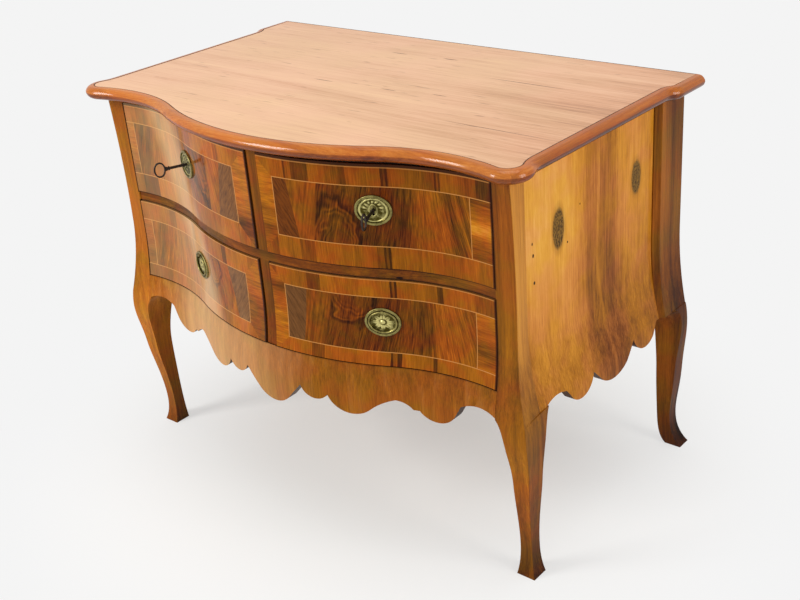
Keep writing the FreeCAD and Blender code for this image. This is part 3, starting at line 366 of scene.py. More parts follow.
def moulding_tone_and_shade(tree, place):
    """Painted shade: darker where the faces turn down towards the hollow beneath, lighter on the nose that
    faces up; browner along the sides.
    """
    shaded_below = facing(tree, "Z", 0.35, -0.35)
    level = add(tree, "Math.MULTIPLY_ADD", (shaded_below, -0.3, 0.58))
    depth = add(tree, "SeparateXYZ", (place,), out="Y")
    return add(tree, "Math.ADD", (level, add(tree, "MapRange", (depth, -240.0, -180.0, 0.0, -0.1))))


def plain_softwood(name, along, dark, light):
    """Pine or fir, planed and unfinished: wide pale bands between narrow darker late wood, dry. Its
    fibres are 0.03 mm wide, too fine to show, so they are drawn as streaks of 1.2 mm."""
    made, tree = new_material(name)
    place = millimetres(tree)
    bands = grain(tree, place, along, 9.0, 900.0, seed=2.0, detail=2.0, bend=0.6)
    fibres = grain(tree, place, along, 1.2, 60.0, seed=6.0)
    figure = add(tree, "Math.MULTIPLY_ADD", (fibres, 0.35, bands))
    colour = add(tree, "ValToRGB", (figure,), ramp=[(0.45, light), (0.9, dark)])
    normal = add(tree, "Bump", {"Strength": 0.4, "Distance": 0.15 * MM, "Height": fibres})
    shader = add(tree, "BsdfPrincipled", {"Base Color": colour, "Roughness": 0.72, "Normal": normal,
                                          "Specular IOR Level": 0.3})
    add(tree, "OutputMaterial", {"Surface": shader})
    return made


# fine shrinkage cracks of the top: middle and half sizes in mm
CRACKS = (((285.0, 141.0, 0.0), (95.0, 1.3, 0.0)), ((390.0, -112.0, 0.0), (110.0, 1.1, 0.0)),
          ((-88.0, 212.0, 0.0), (22.0, 1.6, 0.0)), ((42.0, 219.0, 0.0), (20.0, 1.5, 0.0)),
          ((-98.0, -14.0, 0.0), (26.0, 1.5, 0.0)), ((66.0, -8.0, 0.0), (20.0, 1.5, 0.0)),
          ((178.0, 6.0, 0.0), (18.0, 1.4, 0.0)))
# noise values at which a short open check starts and is full, and how dark it is
CHECK_SHOWN = (0.7, 0.78, 0.0, 0.5)


def top_veneer():
    """Walnut veneer bleached by light, French polished: pale pinkish tan, faint figure along its
    length, short open checks and a few fine shrinkage cracks, browner to the right."""
    made, tree = new_material("french_polished_top_veneer")
    place = millimetres(tree)
    broad = grain(tree, place, "x", 60.0, 620.0, seed=1.0, detail=3.0, bend=0.7)
    fine = grain(tree, place, "x", 4.0, 170.0, seed=9.0)
    pores = grain(tree, place, "x", 1.0, 26.0, seed=4.0, detail=2.0)
    length, depth = (add(tree, "SeparateXYZ", (place,), out=axis) for axis in "XY")
    level = add(tree, "Math.ADD", (add(tree, "MapRange", (length, 160.0, 520.0, 0.5, 0.3)),
                                   add(tree, "MapRange", (depth, -120.0, -320.0, 0.0, 0.12))))
    shade = figured(tree, level, (broad, 0.6), (fine, 0.7), (pores, PORE_STRONG))
    colour = tinted(tree, place, shade, BLEACHED, BLEACHED_PINK, 260.0, 3.0)
    checks = grain(tree, place, "x", 6.0, 60.0, seed=17.0, detail=1.0)
    colour = laid_over(tree, colour, (add(tree, "MapRange", (checks, *CHECK_SHOWN)), OPEN_GRAIN))
    colour = marked(tree, place, colour, CRACKS, OPEN_GRAIN)
    polished(tree, colour, pores, 0.3, 0.45, coat_roughness=0.12, depth=0.05, coat_ior=1.5)
    return made


# dark knots of the side veneer: (y, z) of the middle and half sizes, in mm
KNOTS = (((-88.0, 653.0), (18.0, 37.0)), ((175.0, 661.0), (17.0, 33.0)))
# distances from a knot's middle, 1 on its outline, between which the knot and its halo fade in
KNOT_EDGE = (1.36, 1.14)
HALO_EDGE = (1.7, 1.4, 0.0, 0.35)
WORM_HOLES = (((0.0, -190.0, 720.0), (0.0, 2.2, 2.6)), ((0.0, -166.0, 632.0), (0.0, 2.6, 4.0)),
              ((0.0, -164.0, 581.0), (0.0, 2.8, 3.6)), ((0.0, -168.0, 654.0), (0.0, 2.0, 3.0)),
              ((0.0, -60.0, 618.0), (0.0, 1.8, 2.4)), ((0.0, -19.0, 675.0), (0.0, 1.6, 2.2)))
# tones of the side from front to back; run_of_tones starts at 0, so its places are y + SIDE_SHIFT in mm
SIDE_SHIFT = 492.0
SIDE_TONES = ((300, 0.64), (330, 0.79), (440, 0.77), (480, 0.61), (495, 0.52), (505, 0.4), (532, 0.38),
              (541, 0.58), (547, 0.4), (585, 0.35), (600, 0.48), (618, 0.58), (700, 0.6), (735, 0.54),
              (745, 0.48))


def side_tone(tree, place):
    """Bright sapwood with a brown band behind the middle, whose edges lean backwards on the belly, and
    darker towards the skirt: partly browner wood, partly painted shade where the belly turns down."""
    depth, height = (add(tree, "SeparateXYZ", (place,), out=axis) for axis in "YZ")
    lean = add(tree, "MapRange", (height, 560.0, 330.0, 0.0, -26.0))
    wander = grain(tree, place, "z", 60.0, 220.0, seed=21.0, detail=1.0)
    across = add(tree, "Math.ADD", (add(tree, "Math.MULTIPLY_ADD", (wander, 16.0, depth)), lean))
    tone = run_of_tones(tree, add(tree, "Math.ADD", (across, SIDE_SHIFT)), SIDE_TONES)
    # darker towards the skirt: partly browner wood, partly painted shade where the belly turns down
    return add(tree, "Math.MULTIPLY", (tone, add(tree, "MapRange", (height, 640.0, 360.0, 1.0, 0.56))))


def side_veneer():
    """Golden walnut sapwood veneer, straight grained: yellow-orange with upright streaks, a browner
    band and two oval knots, a few worm holes."""
    made, tree = new_material("golden_walnut_side_veneer")
    place = millimetres(tree)
    broad = grain(tree, place, "z", 18.0, 300.0, seed=11.0, detail=4.0, bend=0.8)
    fine = grain(tree, place, "z", 3.0, 120.0, seed=2.0, bend=0.4)
    blotches = grain(tree, place, "z", 22.0, 48.0, seed=15.0, detail=4.0, bend=0.8)
    pores = grain(tree, place, "z", 1.0, 20.0, seed=5.0, detail=2.0)
    shade = figured(tree, side_tone(tree, place), (broad, 0.34), (fine, 0.46), (blotches, 0.26),
                    (pores, PORE_STRONG))
    colour = tinted(tree, place, shade, GOLD_SAPWOOD, AMBER_SAPWOOD, 80.0, 3.0)
    speckle = grain(tree, place, "z", 3.0, 5.0, seed=1.0, detail=3.0)
    dark = add(tree, "ValToRGB", (speckle,), ramp=KNOT_SPECKLE)
    for (y, z), (wide, high) in KNOTS:
        away = oval(tree, place, (0.0, y, z), (0.0, wide, high))
        away = add(tree, "Math.MULTIPLY_ADD", (broad, 0.5, away))
        halo, knot = (add(tree, "MapRange", (away, *edge)) for edge in (HALO_EDGE, KNOT_EDGE))
        colour = laid_over(tree, colour, (halo, KNOT_HALO), (knot, dark))
    colour = marked(tree, place, colour, WORM_HOLES, GRIME_AND_SHADE)
    colour = shaded_sawn_edges(tree, colour, "X")
    polished(tree, colour, pores, 0.34, 0.35, coat_ior=1.3)
    return made


class Marquetry:
    """The veneers of one drawer front, in mm: |x| from the chest's middle, z from the floor. A run of
    tones is pairs of a place and the tone there, or from there on.

    name: of the material; outline: edges of the front; field: edges of the strung field
    shadowed_head: height of the painted shadow of the top along the head; stained_and_shaded_end: the end
    where stain and painted shade lie beside the gap
    wedge: the joint beside the dark wedge, at the field's foot and head; umber: the wedge's colours
    blaze: the same for the joint beside the orange leaf; blaze_tone: that leaf's tone
    burr: middle and half sizes of the burr
    head, foot, inner, outer: run of tones of the banding along each side
    flames: run of tones of the field outwards from the burr
    sheen: how strong the painted sheen of the light on the swell is; seed: of the figure"""

    def __init__(self, **laid):
        vars(self).update(laid)


STRING_WIDE = 1.5
# pale colour of the stringing, also of the painted highlight along a front's head
STRING_AND_HIGHLIGHT = "#c98a48"
# how soft the string's edges are in mm, and how much of its colour shows under the polish
STRING_SOFT = 0.3
STRING_SHOWN = 0.85
# the painted highlight on the arris along a front's head
HEAD_HIGHLIGHT_WIDE = 2.0
HEAD_HIGHLIGHT_SHOWN = 0.6
# stain and painted shade over a front's end, beside the dark gap: mm from its edge where it starts and is
# full, and how dark it is
END_STAIN_AND_SHADE = (-4.0, -1.6, 0.0, 0.9)
# the painted shadow of the top along the head: how sharply it ends in mm, and how dark it is
HEAD_SHADOW_SOFT = 0.5
HEAD_SHADOW = 0.92
# how strong the painted sheen of the light is outwards over the swell, along a line that leans this much
# from upright
SHEEN_ALONG = ((0, 0.0), (20, 0.4), (50, 1.0), (90, 1.0), (130, 0.45), (250, 0.3))
SHEEN_LEAN = -0.35
# how far the edges of the banding's leaves wander in mm, sideways and upwards
LEAF_WANDER = (3.0, 5.0)
# how far the dark wedge's stripes lean in degrees, and how soft the leaning joints are in mm
STRIPES_LEAN = 32.0
WEDGE_SOFT = 0.5
BLAZE_SOFT = 2.0
# how far a front has to turn backwards to be bare wood, and sideways to be its end
BARE_FACE = (0.2, 0.4)
END_FACE = (0.7, 0.85)
# how the flames lean: |x| from and to in mm, and their lean there
FLAME_LEAN = (255.0, 400.0, -0.22, 0.28)
# the burr, in shares of its half sizes: how far its outline is pushed about, where its rings fade out
# and in, how many there are, how strong they are, and how dark its outline is
BURR_PUSH = 0.9
RINGS_OUT = (1.05, 0.9)
RINGS_IN = (0.3, 0.6)
RINGS = 5.0
RINGS_STRONG = 0.07
BURR_LINE = (0.16, 0.03, 0.0, -0.16)
FRONTS = {
    "upper_front_right": Marquetry(
        name="figured_walnut_upper_right", outline=UPPER_OUTLINE, shadowed_head=5.0, stained_and_shaded_end="outer",
        field=(48.0, 418.0, 631.5, 743.0), wedge=(96.0, 78.0),
        blaze=(127.0, 142.0), blaze_tone=0.52, burr=((172.0, 636.0), (44.0, 84.0)),
        head=((0, 0.6), (78, 0.34), (82, 0.5), (92, 0.36), (127, 0.55), (158, 0.47), (186, 0.36),
              (199, 0.55), (256, 0.2), (261, 0.36), (265, 0.2), (269, 0.55), (310, 0.48), (351, 0.26),
              (355, 0.42), (358, 0.3), (361, 0.54), (407, 0.44), (430, 0.3)),
        foot=((0, 0.54), (30, 0.44), (46, 0.62), (64, 0.56), (80, 0.6), (94, 0.44), (127, 0.6),
              (200, 0.56), (240, 0.44), (251, 0.22), (255, 0.42), (258, 0.22), (262, 0.58), (310, 0.5),
              (318, 0.6), (358, 0.54), (400, 0.6)),
        inner=((0, 0.62), (600, 0.6), (638, 0.42), (664, 0.64), (680, 0.54), (692, 0.68)),
        outer=((0, 0.64), (628, 0.46), (662, 0.5), (674, 0.66), (690, 0.9), (743, 0.4)),
        flames=((0, 0.34), (205, 0.36), (240, 0.28), (262, 0.34), (285, 0.27), (300, 0.36), (312, 0.5),
                (352, 0.58), (368, 0.55), (378, 0.36), (392, 0.44), (402, 0.58), (410, 0.36),
                (418, 0.5)),
        sheen=0.0, umber=("#3e1e06", "#7c400e"), seed=12.0),
    "lower_front_right": Marquetry(
        name="figured_walnut_lower_right", outline=LOWER_OUTLINE, shadowed_head=0.0, stained_and_shaded_end="outer",
        field=(47.0, 420.0, 424.0, 532.0), wedge=(84.0, 97.0),
        blaze=(128.0, 150.0), blaze_tone=0.46, burr=((186.0, 532.0), (44.0, 60.0)),
        head=((0, 0.48), (28, 0.6), (60, 0.56), (98, 0.36), (126, 0.64), (160, 0.6), (200, 0.66),
              (232, 0.6), (257, 0.2), (261, 0.42), (264, 0.2), (268, 0.58), (330, 0.54), (342, 0.3),
              (354, 0.6), (395, 0.62), (420, 0.5)),
        foot=((0, 0.66), (46, 0.62), (98, 0.42), (128, 0.62), (200, 0.64), (252, 0.28), (257, 0.52),
              (264, 0.24), (272, 0.62), (330, 0.34), (336, 0.62), (400, 0.66)),
        inner=((0, 0.74), (500, 0.64), (530, 0.4), (545, 0.62)),
        outer=((0, 0.66), (430, 0.68), (462, 0.42), (480, 0.5), (500, 0.62), (530, 0.66)),
        flames=((0, 0.38), (205, 0.36), (262, 0.3), (275, 0.42), (300, 0.38), (322, 0.36), (331, 0.44),
                (336, 0.56), (360, 0.6), (400, 0.58), (412, 0.44), (420, 0.52)),
        sheen=0.0, umber=("#4a2d14", "#7c5028"), seed=31.0),
    "upper_front_left": Marquetry(
        name="figured_walnut_upper_left", outline=UPPER_OUTLINE, shadowed_head=5.0, stained_and_shaded_end="inner",
        field=(57.0, 444.0, 631.5, 743.0), wedge=(119.0, 97.0),
        blaze=(150.0, 150.0), blaze_tone=0.6, burr=((172.0, 740.0), (46.0, 92.0)),
        head=((0, 0.6), (60, 0.7), (96, 0.56), (112, 0.7), (205, 0.6), (262, 0.5), (275, 0.62),
              (345, 0.4), (362, 0.6), (400, 0.52), (430, 0.6)),
        foot=((0, 0.58), (60, 0.66), (120, 0.6), (240, 0.66), (330, 0.7), (394, 0.3), (438, 0.5)),
        inner=((0, 0.6), (600, 0.5), (636, 0.32), (660, 0.6), (684, 0.68)),
        outer=((0, 0.56), (640, 0.4), (664, 0.56), (690, 0.66)),
        flames=((0, 0.44), (215, 0.44), (250, 0.56), (300, 0.6), (370, 0.6), (396, 0.5), (408, 0.3),
                (424, 0.42), (434, 0.26), (444, 0.4)),
        sheen=0.42, umber=("#4c2a10", "#8a5828"), seed=47.0),
    "lower_front_left": Marquetry(
        name="figured_walnut_lower_left", outline=LOWER_OUTLINE, shadowed_head=0.0, stained_and_shaded_end="inner",
        field=(59.0, 440.0, 424.0, 527.0), wedge=(94.0, 121.0),
        blaze=(128.0, 150.0), blaze_tone=0.58, burr=((176.0, 500.0), (26.0, 34.0)),
        head=((0, 0.6), (48, 0.68), (118, 0.4), (136, 0.62), (205, 0.66), (262, 0.5), (275, 0.66),
              (350, 0.5), (372, 0.62)),
        foot=((0, 0.6), (60, 0.66), (120, 0.56), (160, 0.66), (300, 0.62), (390, 0.5)),
        inner=((0, 0.62), (470, 0.5), (500, 0.64)),
        outer=((0, 0.6), (460, 0.5), (490, 0.6)),
        flames=((0, 0.54), (215, 0.5), (260, 0.6), (330, 0.62), (396, 0.56), (410, 0.4), (424, 0.5),
                (440, 0.56)),
        sheen=0.42, umber=("#4e2e14", "#8c5c30"), seed=63.0),
}


def middle_of(box):
    """Middle of a rectangle given by its edges: u from and to, w from and to."""
    return (box[0] + box[1]) / 2, (box[2] + box[3]) / 2


def leaning_line(tree, u, w, box, foot_u, head_u):
    """How far u lies beyond a line that leans from foot_u at the field's foot to head_u at its head."""
    line = add(tree, "MapRange", (w, *box[2:], foot_u, head_u))
    return add(tree, "Math.SUBTRACT", (u, line))


def banding_tone(tree, row, u, w, book, across, upward):
    """Crossbanding: leaves of differing tone side by side, their grain square to the drawer's edge. The
    head and foot bands run through over the outer end, and the inner end is mitred."""
    shake = grain(tree, book, "z", 5.0, 30.0, seed=row.seed + 1.0, detail=1.0)
    shaken_u = add(tree, "Math.MULTIPLY_ADD", (shake, LEAF_WANDER[0], u))
    shaken_w = add(tree, "Math.MULTIPLY_ADD", (shake, LEAF_WANDER[1], w))
    middle_u, middle_w = middle_of(row.field)
    above = add(tree, "Math.GREATER_THAN", (w, middle_w))
    beyond = add(tree, "Math.GREATER_THAN", (u, middle_u))
    foot, head = (run_of_tones(tree, shaken_u, stops, "CONSTANT") for stops in (row.foot, row.head))
    inner, outer = (run_of_tones(tree, shaken_w, stops) for stops in (row.inner, row.outer))
    along = add(tree, "Mix", {FACTOR: above, LESS: foot, MORE: head})
    ends = add(tree, "Mix", {FACTOR: beyond, LESS: inner, MORE: outer})
    upright = figured(
        tree, along, (grain(tree, book, "z", 16.0, 90.0, seed=row.seed, detail=3.0), 0.35),
        (grain(tree, book, "z", 1.8, 46.0, seed=row.seed + 2.0), 0.6))
    wavy = figured(
        tree, ends, (grain(tree, book, "x", 9.0, 70.0, seed=row.seed + 3.0, detail=3.0, bend=0.9), 0.5),
        (grain(tree, book, "x", 2.0, 36.0, seed=row.seed + 4.0, bend=0.5), 0.55))
    mitre = add(tree, "Math.GREATER_THAN", (across, upward))
    butt = add(tree, "Math.LESS_THAN", (upward, 0.0))
    at_end = add(tree, "Mix", {FACTOR: beyond, LESS: mitre, MORE: butt})
    return add(tree, "Mix", {FACTOR: at_end, LESS: upright, MORE: wavy})


def field_tone(tree, row, u, w, book):
    """Figured field: an orange leaning leaf, a burr with arched rings inside a dark line, then flames that
    lean outwards near the burr and inwards at the far end."""
    lean = add(tree, "MapRange", (u, *FLAME_LEAN))
    rise = add(tree, "Math.SUBTRACT", (w, middle_of(row.field)[1]))
    swept = add(tree, "Math.MULTIPLY_ADD", (lean, rise, u))
    leaned = add(tree, "CombineXYZ", (swept, 0.0, w))
    broad = grain(tree, leaned, "z", 8.0, 110.0, seed=row.seed + 5.0, detail=3.0, bend=0.5)
    fine = grain(tree, leaned, "z", 1.9, 34.0, seed=row.seed + 6.0, bend=0.5)
    tone = figured(tree, run_of_tones(tree, swept, row.flames), (broad, 0.55), (fine, 0.95))

    (burr_u, burr_w), (burr_wide, burr_high) = row.burr
    away = oval(tree, book, (burr_u, 0.0, burr_w), (burr_wide, 0.0, burr_high))
    push = grain(tree, book, "x", 34.0, 34.0, seed=row.seed + 7.0, detail=1.2, bend=0.2)
    away = add(tree, "Math.SUBTRACT", (away, BURR_PUSH / 2))
    away = add(tree, "Math.MULTIPLY_ADD", (push, BURR_PUSH, away))
    rings = add(tree, "Math.SINE", (add(tree, "Math.MULTIPLY", (away, 2 * math.pi * RINGS)),))
    for edge in (RINGS_OUT, RINGS_IN):
        rings = add(tree, "Math.MULTIPLY", (rings, add(tree, "MapRange", (away, *edge))))
    tone = add(tree, "Math.MULTIPLY_ADD", (rings, RINGS_STRONG, tone))
    line = add(tree, "Math.ABSOLUTE", (add(tree, "Math.SUBTRACT", (away, 1.0)),))
    tone = add(tree, "Math.ADD", (tone, add(tree, "MapRange", (line, *BURR_LINE))))

    wisps = grain(tree, leaned, "z", 4.0, 90.0, seed=row.seed + 8.0)
    curl = grain(tree, book, "z", 16.0, 50.0, seed=row.seed + 9.0, detail=2.0, bend=0.8)
    orange = figured(tree, row.blaze_tone, (wisps, 0.6), (curl, 0.5))
    past = leaning_line(tree, u, w, row.field, *row.blaze)
    inside = add(tree, "MapRange", (past, BLAZE_SOFT, -BLAZE_SOFT))
    return add(tree, "Mix", {FACTOR: inside, LESS: tone, MORE: orange})


def drawer_veneer(row):
    """Veneered drawer front: crossbanding round a strung field of figured walnut, shellac polished."""
    made, tree = new_material(row.name)
    place = millimetres(tree)
    u, w = front_place(tree, place)
    book = add(tree, "CombineXYZ", (u, 0.0, w))
    across, upward, outside = rectangle_distance(tree, u, w, row.field)
    tone = add(tree, "Mix", {FACTOR: add(tree, "Math.GREATER_THAN", (outside, 0.0)),
                             LESS: field_tone(tree, row, u, w, book),
                             MORE: banding_tone(tree, row, u, w, book, across, upward)})
    colour = tinted(tree, book, tone, FIGURED_COOL, FIGURED_WARM, 48.0, row.seed)

    # the dark wedge at the field's inner end, of stripy umber wood
    slant = add(tree, "Mapping", {"Vector": book, "Rotation": (0.0, math.radians(STRIPES_LEAN), 0.0)})
    stripes = grain(tree, slant, "z", 4.2, 26.0, seed=row.seed + 10.0, bend=0.6)
    umber = add(tree, "ValToRGB", (stripes,), ramp=[(0.25, row.umber[0]), (0.75, row.umber[1])])
    past = leaning_line(tree, u, w, row.field, *row.wedge)
    wedge = add(tree, "MapRange", (past, WEDGE_SOFT, -WEDGE_SOFT))
    wedge = add(tree, "Math.MULTIPLY", (wedge, add(tree, "Math.LESS_THAN", (outside, 0.0))))

    # stringing: a thin pale line round the field, run on to the outer edge over the end band
    near = add(tree, "Math.ABSOLUTE", (outside,))
    at_outer_end = add(tree, "Math.GREATER_THAN", (u, row.field[1]))
    run_on = add(tree, "Math.ABSOLUTE", (upward,))
    run_on = add(tree, "Mix", {FACTOR: at_outer_end, LESS: near, MORE: run_on})
    near = add(tree, "Math.MINIMUM", (near, run_on))
    string = add(tree, "MapRange", (near, STRING_WIDE / 2 + STRING_SOFT, STRING_WIDE / 2 - STRING_SOFT,
                                    0.0, STRING_SHOWN))

    # painted highlight on the arris along the head, stain and painted shade over one end, and the painted
    # shadow of the top along the head
    to_end, to_head = rectangle_distance(tree, u, w, row.outline)[:2]
    middle_u, middle_w = middle_of(row.outline)
    above = add(tree, "Math.GREATER_THAN", (w, middle_w))
    arris = -HEAD_HIGHLIGHT_WIDE - row.shadowed_head
    # painted highlight: a pale line along the arris of the head, under the painted shadow
    worn = add(tree, "MapRange", (to_head, arris - STRING_SOFT, arris + STRING_SOFT, 0.0, HEAD_HIGHLIGHT_SHOWN))
    worn = add(tree, "Math.MULTIPLY", (worn, above))
    there = "Math.GREATER_THAN" if row.stained_and_shaded_end == "outer" else "Math.LESS_THAN"
    end_half = add(tree, there, (u, middle_u))
    stain_and_shade = add(tree, "Math.MULTIPLY", (add(tree, "MapRange", (to_end, *END_STAIN_AND_SHADE)), end_half))
    shadow_under_top = add(tree, "MapRange", (to_head, -row.shadowed_head - HEAD_SHADOW_SOFT,
                                       -row.shadowed_head + HEAD_SHADOW_SOFT, 0.0, HEAD_SHADOW))
    stain_and_shade = add(tree, "Math.MAXIMUM", (stain_and_shade, add(tree, "Math.MULTIPLY", (shadow_under_top, above))))
    colour = laid_over(tree, colour, (wedge, umber), (string, STRING_AND_HIGHLIGHT), (worn, STRING_AND_HIGHLIGHT), (stain_and_shade, WINE_STAIN_AND_SHADE))

    # painted sheen of the light on the swell, most of all in slanting streaks
    if row.sheen:
        slanting = add(tree, "Math.MULTIPLY_ADD", (w, SHEEN_LEAN, u))
        cloud = grain(tree, book, "z", 60.0, 160.0, seed=row.seed + 12.0, detail=3.0)
        colour = painted_sheen(tree, colour, run_of_tones(tree, slanting, SHEEN_ALONG), cloud, row.sheen)

    # the inner face of the front is bare softwood, its ends are dark with old polish and painted shade in
    # the gaps
    bare = facing(tree, "Y", *BARE_FACE)
    shaded_end = facing(tree, "X", *END_FACE, both=True)
    colour = laid_over(tree, colour, (bare, BARE_FRONT), (shaded_end, FRONT_END_AND_SHADE))
    pores = grain(tree, book, "z", 0.9, 18.0, seed=row.seed + 11.0, detail=2.0)
    polished(tree, colour, pores, 0.3, 0.9, coat_ior=1.25 if row.sheen else 1.16)
    return made


# ---------------------------------------------------------------- metal finishes
def metal(tree, colour, rough, height, bumpy, metallic):
    """Bare metal: it tints what it mirrors. height is a noise that stands for lows of 0.2 mm; bumpy is
    how strongly they show."""
    normal = add(tree, "Bump", {"Strength": bumpy, "Distance": 0.2 * MM, "Height": height})
    shader = add(tree, "BsdfPrincipled", {"Base Color": colour, "Metallic": metallic,
                                          "Roughness": rough, "Normal": normal})
    add(tree, "OutputMaterial", {"Surface": shader})


def aged_brass(name, bright, tarnish, raised=False):
    """Cast and chased brass, a century or two of handling: greenish gold, worn bright where it stands
    proud, brown in the lows. Patches 9 mm wide and specks of 1.2 mm keep it from looking new."""
    made, tree = new_material(name)
    place = millimetres(tree)
    patches = add(tree, "TexNoise", {"Vector": place, "Scale": 1 / 9.0, "Detail": 4.0,
                                     "Roughness": 0.6})
    specks = add(tree, "TexNoise", {"Vector": place, "Scale": 1 / 1.2, "Detail": 2.0})
    wear = add(tree, "Math.MULTIPLY_ADD", (specks, 0.4, patches))
    if raised:
        proud = add(tree, "Attribute", out="Fac", attribute_name=RAISED)
        wear = add(tree, "Math.MULTIPLY_ADD", (proud, 0.7, add(tree, "Math.SUBTRACT", (wear, 0.3))))
    colour = add(tree, "ValToRGB", (wear,), ramp=[(0.42, tarnish), (0.86, bright)])
    metal(tree, colour, add(tree, "MapRange", (wear, 0.5, 0.9, 0.5, 0.26)), patches, 0.35, 1.0)
    return made


def wrought_iron(name, bright, rust):
    """Filed wrought iron, blackened by oil and a little rust: dark, dull, finely pitted."""
    made, tree = new_material(name)
    pits = add(tree, "TexNoise", {"Vector": millimetres(tree), "Scale": 1 / 1.6, "Detail": 5.0,
                                  "Roughness": 0.7})
    colour = add(tree, "ValToRGB", (pits,), ramp=[(0.35, rust), (0.65, bright)])
    metal(tree, colour, add(tree, "MapRange", (pits, 0.3, 0.7, 0.65, 0.4)), pits, 0.5, 0.9)
    return made


# ---------------------------------------------------------------- finishes on the carried-over pieces
# chips along the mid rail's edges: middle and half sizes in mm
CHIPS = (((273.0, 0.0, 572.0), (7.0, 0.0, 2.6)), ((236.0, 0.0, 588.0), (12.0, 0.0, 1.4)))
# the mouldings mirror more than the other solid wood, so a bright line of light runs round the top
FRONT_MOULDING, SIDE_MOULDING = (
    solid_walnut("polished_walnut_%s_moulding" % where, along, moulding_tone_and_shade, MOULDING_COOL,
                 MOULDING_WARM, seed, coat=0.75, coat_ior=1.42, rough=0.3)
    for where, along, seed in (("front", "x", 3.0), ("side", "y", 9.0)))
# posts with upright grain lead the eye down into the legs; their golden flanks tie in the sides
POSTS = solid_walnut("polished_walnut_posts", "z", post_tone, OLIVE_WALNUT, RUDDY_WALNUT, 14.0,
                     flank=GOLD_SAPWOOD)
# the apron is quieter than the fronts above it, with a painted sheen on the left and soiling and painted
# shade along its cut scallops
APRON = solid_walnut("polished_walnut_apron", "z", apron_tone, OLIVE_WALNUT, RUDDY_WALNUT, 22.0,
                     lively=(0.35, 0.45), sheen=0.36, grime_and_shade=0.4, board_faces="Y")
# rails and stiles frame the veneered fronts: the painted shadow under the moulding sets the top off
RAILS = solid_walnut("polished_walnut_rails", "x", rail_tone_and_shadow, OLIVE_WALNUT, RUDDY_WALNUT, 27.0,
                     marks=CHIPS)
STILES = solid_walnut("polished_walnut_stiles", "z", 0.48, FIGURED_COOL, FIGURED_WARM, 33.0)
VENEERED = {part: drawer_veneer(row) for part, row in FRONTS.items()}
TOP = top_veneer()
SIDES = side_veneer()
# bare softwood is pale and dull beside the polish, and the drawers' is paler than the case's
LINING = {along: plain_softwood("drawer_lining_grain_" + along, along, "#8f6a42", "#c4a070")
          for along in "xy"}
PINE = {along: plain_softwood("aged_pine_grain_" + along, along, "#6f4a26", "#a57c4e")
        for along in "xyz"}
# the plates are the light spots on the front, and their ornament is brighter than their rim
BRASS = aged_brass("aged_brass", "#a0955a", "#4a4020")
EMBOSSED = aged_brass("aged_embossed_brass", "#cfc480", "#4a4218", raised=True)
IRON = wrought_iron("wrought_iron", "#4a4440", "#33241c")

# the first matching beginning of a node's name decides its finish
FINISHES = (
    ("top_moulding_front", FRONT_MOULDING), ("top_moulding", SIDE_MOULDING), ("top_board", TOP),
    ("leg_", POSTS), ("side_panel", SIDES), ("front_apron", APRON), ("front_", RAILS),
    ("centre_stile", STILES), *(("drawer_" + part, made) for part, made in VENEERED.items()),
    ("drawer_upper_side", LINING["y"]), ("drawer_lower_side", LINING["y"]), ("drawer_", LINING["x"]),
    ("escutcheon", BRASS), ("rosette_plate", BRASS), ("ring_", BRASS),
    ("key", IRON), ("lock_", IRON), ("back_panel", PINE["z"]), ("back_rail", PINE["x"]),
    ("centre_", PINE["y"]), ("runner", PINE["y"]), ("guide", PINE["y"]), ("bottom_board", PINE["x"]),
)


def dress(node_name, piece):
    """Gives every material slot of a carried-over piece its finish."""
    finish = next(made for start, made in FINISHES if node_name.startswith(start))
    for slot in piece.material_slots:
        slot.material = finish


for node_name, piece in nodes.items():
    dress(node_name, piece)


# ---------------------------------------------------------------- embossed ornament on the brass plates
RIM_WIDE = 4.5
# the bare strip between a plate's rim and its relief
RIM_GAP = 0.2
# how deep the sheet's back lies in the plate
SUNK = 0.4
# how far the sheet's own ground stands over the plate
LAID_ON = 0.12
# the height that counts as wholly worn bright
PROUD_HIGH = 1.3
# points of a relief's sheet from its middle to the rim, and round it
RELIEF_GRID = (34, 144)
# where a triangle is sampled, as shares of its corners: corners, edge middles, centre
SAMPLES = ((1, 0, 0), (0, 1, 0), (0, 0, 1), (0.5, 0.5, 0), (0, 0.5, 0.5), (0.5, 0, 0.5),
           (1 / 3, 1 / 3, 1 / 3))
# how far past its reach a fit looks, and how squarely a triangle has to face outwards to count
FIT_PAST = 1.03
FACES_OUT = 0.9
# points of a sheet closer than this in mm are one, and edges shorter than this are taken out
WELD = 0.002
NO_EDGE = 0.001


def corners_and_faces(node_name):
    """A node's corners in metres and its triangles, as arrays."""
    data = nodes[node_name].data
    corners = np.empty(len(data.vertices) * 3)
    data.vertices.foreach_get("co", corners)
    faces = np.empty(len(data.polygons) * 3, dtype=int)
    data.polygons.foreach_get("vertices", faces)
    return corners.reshape(-1, 3), faces.reshape(-1, 3)


def plate_frame(node_name):
    """Middle of a plate's back and its across, up and outward axes, from the spread of its corners."""
    corners = corners_and_faces(node_name)[0]
    middle = (corners.min(0) + corners.max(0)) / 2
    outward = np.linalg.svd(corners - corners.mean(0), full_matrices=False)[2][2]
    outward *= -np.sign(outward[1])
    across = np.cross(outward, (0.0, 0.0, -1.0))
    across /= np.linalg.norm(across)
    up = np.cross(outward, across)
    offsets = corners - middle
    half = (np.abs(offsets @ across).max(), np.abs(offsets @ up).max())
    return middle + outward * (offsets @ outward).min(), across, up, outward, half


